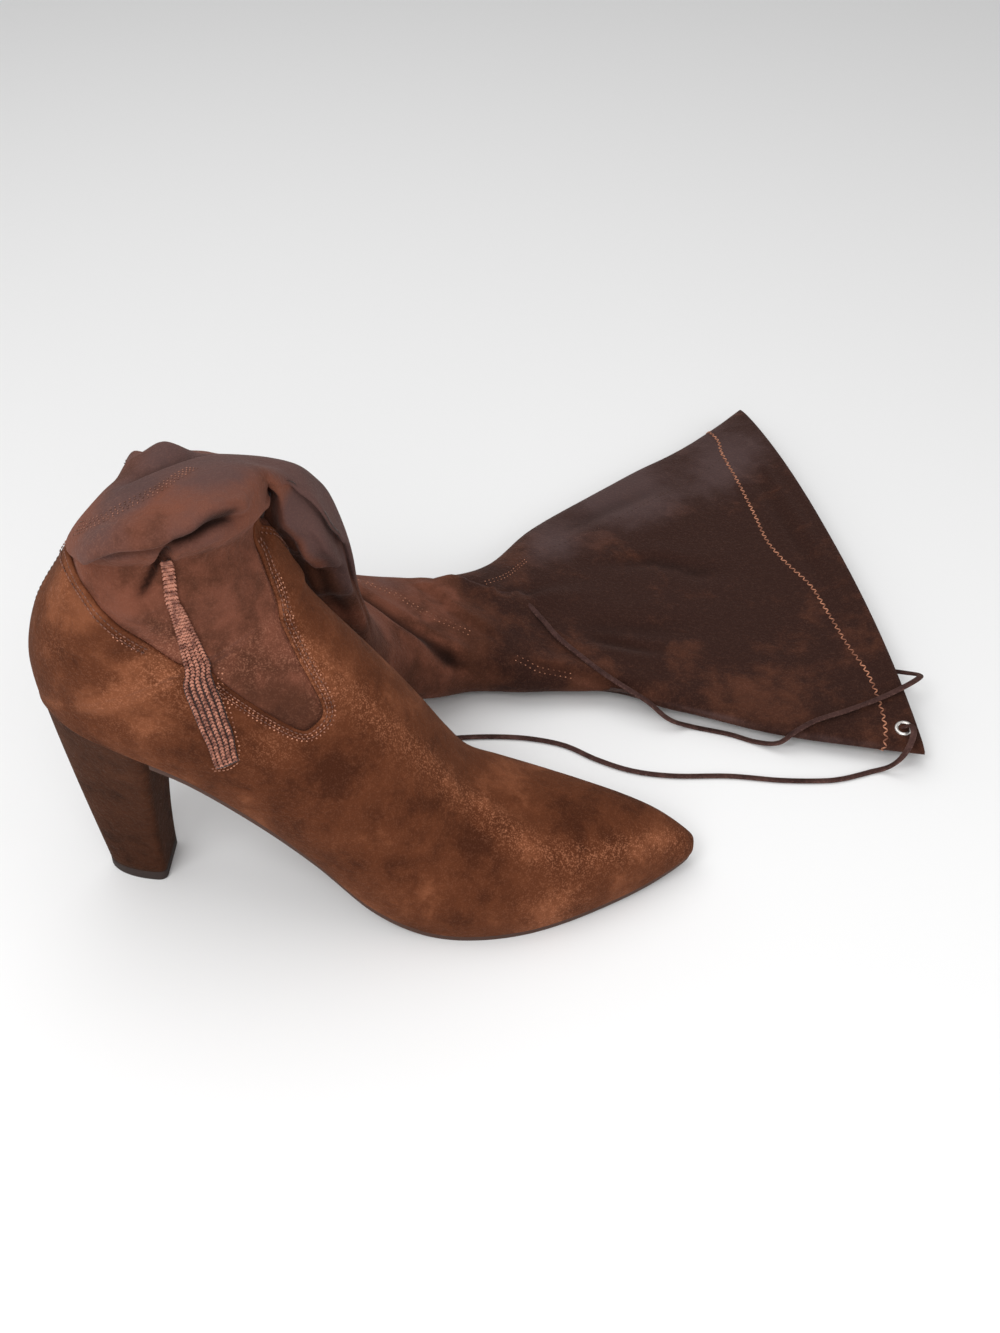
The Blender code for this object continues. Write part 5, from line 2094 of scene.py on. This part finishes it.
# Slack places: most bring the fall's front close over the instep's outer half.
SAGS = (
    Sag(22.9, 0.16, 7.0, (0.8, 7.1, 2.4)), Sag(23.7, 0.04, 8.0, (0.2, -8.4, -1.4)),
    Sag(23.6, 0.28, 8.0, (0.7, 0.5, -0.8)), Sag(24.8, 0.12, 9.0, (-0.2, -11.1, -0.8)),
    Sag(24.8, 0.32, 9.0, (0.6, -2.2, -1.1)), Sag(25.9, 0.18, 10.0, (-0.7, -10.5, 1.5)),
    Sag(25.9, 0.38, 10.0, (3.1, -6.4, -5.6)), Sag(26.9, 0.20, 11.0, (-1.9, -7.2, -6.8)),
    Sag(26.9, 0.40, 11.0, (6.7, -7.6, -7.8)), Sag(27.8, 0.22, 12.0, (1.7, -5.6, -5.2)),
    Sag(27.8, 0.42, 12.0, (4.7, -4.9, -3.7)), Sag(28.9, 0.30, 14.0, (1.6, -1.9, 1.0)),
    Sag(24.6, -0.65, 9.0, (0.0, 0.0, 3.2)), Sag(24.4, -0.20, 11.0, (0.0, 0.6, -4.2)),
    Sag(26.0, -0.12, 11.0, (-0.2, 1.6, -2.5)),
)
# How light the stretch suede is along the shaft, a row for each section from the ankle on: partly
# the nap's own, partly painted light, lighter on the top-lit roll and darker on the flare.
SHAFT_TONE_AND_LIGHT = Table([(tone,) for tone in (
    0.45, 0.60, 0.70, 0.75, 0.75, 0.70, 0.65, 0.50, 0.35, 0.25, 0.20, 0.25, 0.40, 0.50, 0.15,
    -0.35, -0.60, -0.75, -0.75, -0.70, -0.65)])
# Lighter and darker patches, partly the nap's own and partly painted light and shade: place,
# around, radius in millimetres and strength, as in the next two.
TONE_AND_LIGHT_PATCHES = (
    Patch(10.2, -0.35, 8.0, -0.55), Patch(11.6, -0.33, 7.0, -0.6), Patch(9.0, -0.42, 7.0, -0.4),
    Patch(16.5, -0.47, 9.0, 0.5), Patch(15.6, -0.56, 10.0, 0.7), Patch(19.0, -0.78, 10.0, 0.5),
    Patch(12.6, -0.62, 11.0, 0.4), Patch(17.0, -0.20, 12.0, 0.15), Patch(7.2, -0.55, 13.0, 0.1),
    Patch(4.4, -0.60, 10.0, 0.8), Patch(3.0, -0.50, 9.0, 0.6), Patch(6.3, -0.40, 10.0, -0.45),
    Patch(6.0, -0.22, 9.0, -0.3), Patch(8.3, -0.30, 11.0, -0.35), Patch(18.6, -0.62, 8.0, 0.5),
    Patch(35.0, -0.76, 16.0, -0.3), Patch(35.42, -0.62, 14.0, -0.4), Patch(34.3, -0.20, 26.0, 0.5),
    Patch(35.9, -0.22, 28.0, 0.45), Patch(35.0, -0.38, 16.0, 0.3), Patch(30.4, -0.60, 18.0, 0.6),
    Patch(28.4, 0.12, 12.0, -0.5), Patch(32.9, -0.22, 12.0, -0.5), Patch(22.8, -0.33, 12.0, 0.3),
    Patch(26.4, 0.20, 14.0, 0.8), Patch(33.0, -0.66, 14.0, -0.5), Patch(24.5, -0.10, 14.0, 0.4),
)
# Greyer patches: painted sheen where light from above falls, on nap that is raised.
SHEEN_AND_NAP_PATCHES = (
    Patch(22.8, -0.66, 14.0, 0.8), Patch(24.2, -0.50, 18.0, 1.0), Patch(25.8, -0.35, 20.0, 1.0),
    Patch(27.6, -0.20, 18.0, 0.9), Patch(34.2, -0.68, 20.0, 0.7), Patch(35.4, -0.72, 26.0, 0.8),
    Patch(36.8, -0.74, 28.0, 0.7), Patch(35.2, -0.90, 26.0, 0.6), Patch(31.2, -0.62, 12.0, 0.4),
    Patch(30.0, -0.62, 18.0, 0.7), Patch(25.5, 0.00, 12.0, 0.5), Patch(23.0, -0.30, 14.0, 0.5),
)
# Painted highlights: patches of lighter, glinting nap where light would catch it.
HIGHLIGHT_PATCHES = (
    Patch(16.5, -0.455, 8.0, 0.40), Patch(15.6, -0.55, 12.0, 0.35), Patch(19.1, -0.80, 9.0, 0.30),
    Patch(17.6, -0.74, 8.0, 0.20), Patch(13.4, -0.28, 10.0, 0.30), Patch(11.1, -0.455, 8.0, 0.25),
    Patch(4.2, -0.62, 12.0, 0.40), Patch(12.8, -0.62, 9.0, 0.25), Patch(22.2, -0.66, 9.0, 0.20),
)
# Bands of painted highlight, such as along the vamp's ridge: route, half width in millimetres, and
# strength.
HIGHLIGHT_BANDS = (
    (((12.6, -0.175), (11.2, -0.165), (10.08, -0.154), (9.09, -0.132), (8.0, -0.118),
      (6.73, -0.112), (5.9, -0.165), (5.14, -0.240), (4.4, -0.275), (3.76, -0.292),
      (2.4, -0.27), (1.5, -0.25)), 5.5, 0.50),
    (((17.6, -0.42), (16.2, -0.40), (14.6, -0.42), (13.0, -0.465)), 7.0, 0.3),
    (((17.6, -0.07), (15.5, -0.105), (13.7, -0.135), (12.4, -0.17), (11.5, -0.21),
      (11.0, -0.27)), 3.5, 0.35),
)
SHADE_DEPTH = 3.2             # millimetres of crease at which its shade is full

HEM_ROUTE = ((36.92, -0.97), (36.92, -0.837), (36.82, -0.771), (36.77, -0.666), (36.73, -0.572),
             (36.72, -0.520), (36.87, -0.482), (37.05, -0.443), (37.13, -0.389), (37.22, -0.328),
             (37.37, -0.276), (37.41, -0.221), (37.38, -0.15), (37.3, -0.06), (37.2, 0.05),
             (37.05, 0.2), (36.9, 0.4), (36.85, 0.6), (36.88, 0.8), (36.92, 1.03))
# Seams away from the top line: name, route, rows, pitch, half size of a stitch, and slant.
SEAMS = (
    Seam("neck_seam", ((30.45, -0.62), (30.7, -0.59), (30.99, -0.55), (31.26, -0.5),
         (31.58, -0.442), (31.94, -0.4), (32.28, -0.355)), (-1.4, 1.4), 2.3, (0.4, 0.3, 0.22),
         slot="stretch_suede"),
    Seam("roll_seam", ((21.85, -0.82), (22.0, -0.76), (22.17, -0.703), (22.41, -0.64),
         (22.65, -0.578), (22.91, -0.518), (23.5, -0.47)), (-2.1, -0.7, 0.7, 2.1), 1.7,
         (0.42, 0.28, 0.2), 38.0, finish=Finish.RUST, slot="stretch_suede"),
    Seam("roll_seam_back", ((25.2, -0.66), (25.8, -0.62), (26.6, -0.6), (28.6, -0.6),
         (30.3, -0.63)), (-1.6, 1.6), 2.6, (0.7, 0.24, 0.2), finish=Finish.BROWN,
         slot="stretch_suede"),
    Seam("fine_seam", ((33.01, -0.6), (33.59, -0.651), (34.68, -0.654), (35.78, -0.723),
         (36.69, -0.757)), (0.0,), 3.2, (0.6, 0.2, 0.16), finish=Finish.BROWN,
         slot="stretch_suede"),
    Seam("far_seam_dots", ((32.85, -0.6), (33.02, -0.604), (33.32, -0.609), (33.7, -0.635)),
         (-1.3, 1.3), 2.4, (0.36, 0.26, 0.2), slot="stretch_suede"),
    Seam("near_seam_dots", ((33.1, -0.2), (33.23, -0.176), (33.49, -0.124), (33.95, -0.105)),
         (-1.2, 1.2), 2.4, (0.36, 0.26, 0.2), slot="stretch_suede"),
    Seam("zip_side_crumbs", ((13.9, -0.338), (13.49, -0.357), (12.26, -0.418), (11.5, -0.5),
         (11.2, -0.56)), (-0.6, 0.6), 1.9, (0.42, 0.32, 0.24), 45.0),
    Seam("zip_foot_stitches", ((11.16, -0.675), (11.11, -0.628), (11.15, -0.58)), (-0.7, 0.7), 1.5,
         (0.6, 0.3, 0.25)),
    Seam("lateral_seam", ((10.5, 0.62), (8.6, 0.55), (7.4, 0.66), (6.6, 0.8), (6.2, 0.97)),
         (-1.6, 1.6), 2.3, (0.8, 0.25, 0.2)),
    Seam("heel_seam", ((19.3, 0.985), (18.2, 0.985), (17.0, 0.985), (16.2, 0.985)), (-1.6, 1.6),
         2.4, (0.8, 0.25, 0.16), height=0.02, finish=Finish.BROWN),
    Seam("hem_zigzag", HEM_ROUTE, (0.0,), 1.9, (1.45, 0.4, 0.3), 48.0, slot="stretch_suede"),
)
# Columns of the top line between which the zip crosses it.
ZIP_BACK, ZIP_FRONT = -0.455, -0.405


def top_line_route(first: float, last: float) -> Route:
    """The scalloped top line between two of its columns, as a route on the skin.

    Args:
        first: Column where it starts.
        last: Column where it ends.

    Returns:
        Its spots, as place and around.
    """
    rows = [row for row in TOP_LINE if first <= row.column <= last]
    columns = np.array([row.column for row in rows])
    places = np.array([row.place for row in rows])
    return tuple(zip(places, column_around(columns, places)))


def sew_top_line(skin: Skin) -> None:
    """Two rows of stitches along the foot part's top line, and crumbs of zigzag beside the dip.

    Args:
        skin: The boot's skin.
    """
    for name, first, last in (("counter_seam", -1.0, ZIP_BACK), ("dip_seam", ZIP_FRONT, -0.02),
                              ("outer_seam", 0.03, 1.0)):
        Seam(name, top_line_route(first, last), (1.2, 2.9), 1.6, (0.70, 0.26, 0.22),
             height=0.5, finish=Finish.RUST).build(skin)
    Seam("dip_crumbs", top_line_route(-0.41, -0.07), (2.2, 3.9), 1.7, (0.40, 0.30, 0.22),
         slant=50.0, height=0.35).build(skin)
    Seam("counter_crumbs", top_line_route(-0.56, ZIP_BACK), (2.2, 3.6), 1.8,
         (0.38, 0.28, 0.22), slant=50.0, height=0.35).build(skin)


def main() -> None:
    """Builds the boot and its studio."""
    logging.basicConfig(level=logging.INFO, format="%(message)s")
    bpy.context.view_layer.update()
    skin = Skin(FOLDS, DENTS, SAGS)
    Studio().build()
    near_eyelet = Eyelet("near_eyelet", "eyelet_near", 37.72, -0.120)
    far_eyelet = Eyelet("far_eyelet", "eyelet_far", 37.62, 0.240)
    middle, normal = near_eyelet.frame(skin)
    lead = tuple(tuple(middle + normal * height) for height in LEAD_HEIGHTS)
    Lace("near_lace", "lace_near", LACE_NEAR_ROUTE, "bare", lead).build()
    Lace("far_lace", "lace_far", LACE_FAR_ROUTE, "object").build()
    FootPart(skin).build()
    Shaft(skin).build()
    Zip(Skin((), DENTS)).build()
    near_eyelet.build(skin)
    far_eyelet.build(skin)
    Heel().build()
    SolePlate("thin_outsole", "outsole", Finish.SOLE, "sole_leather", first=0.25,
              last=BREAST_PLACE - 0.05, inset=OUTSOLE_INSET, top=-SOLE_GAP,
              thickness=OUTSOLE_THICK).build()
    SolePlate("lined_insole", "insole", Finish.LINING, "insole_lining", first=0.9,
              last=SEAT_END, inset=2.6, top=1.9, thickness=1.8).build()
    sew_top_line(skin)
    for seam in SEAMS:
        seam.build(skin)


if __name__ == "__main__":
    main()
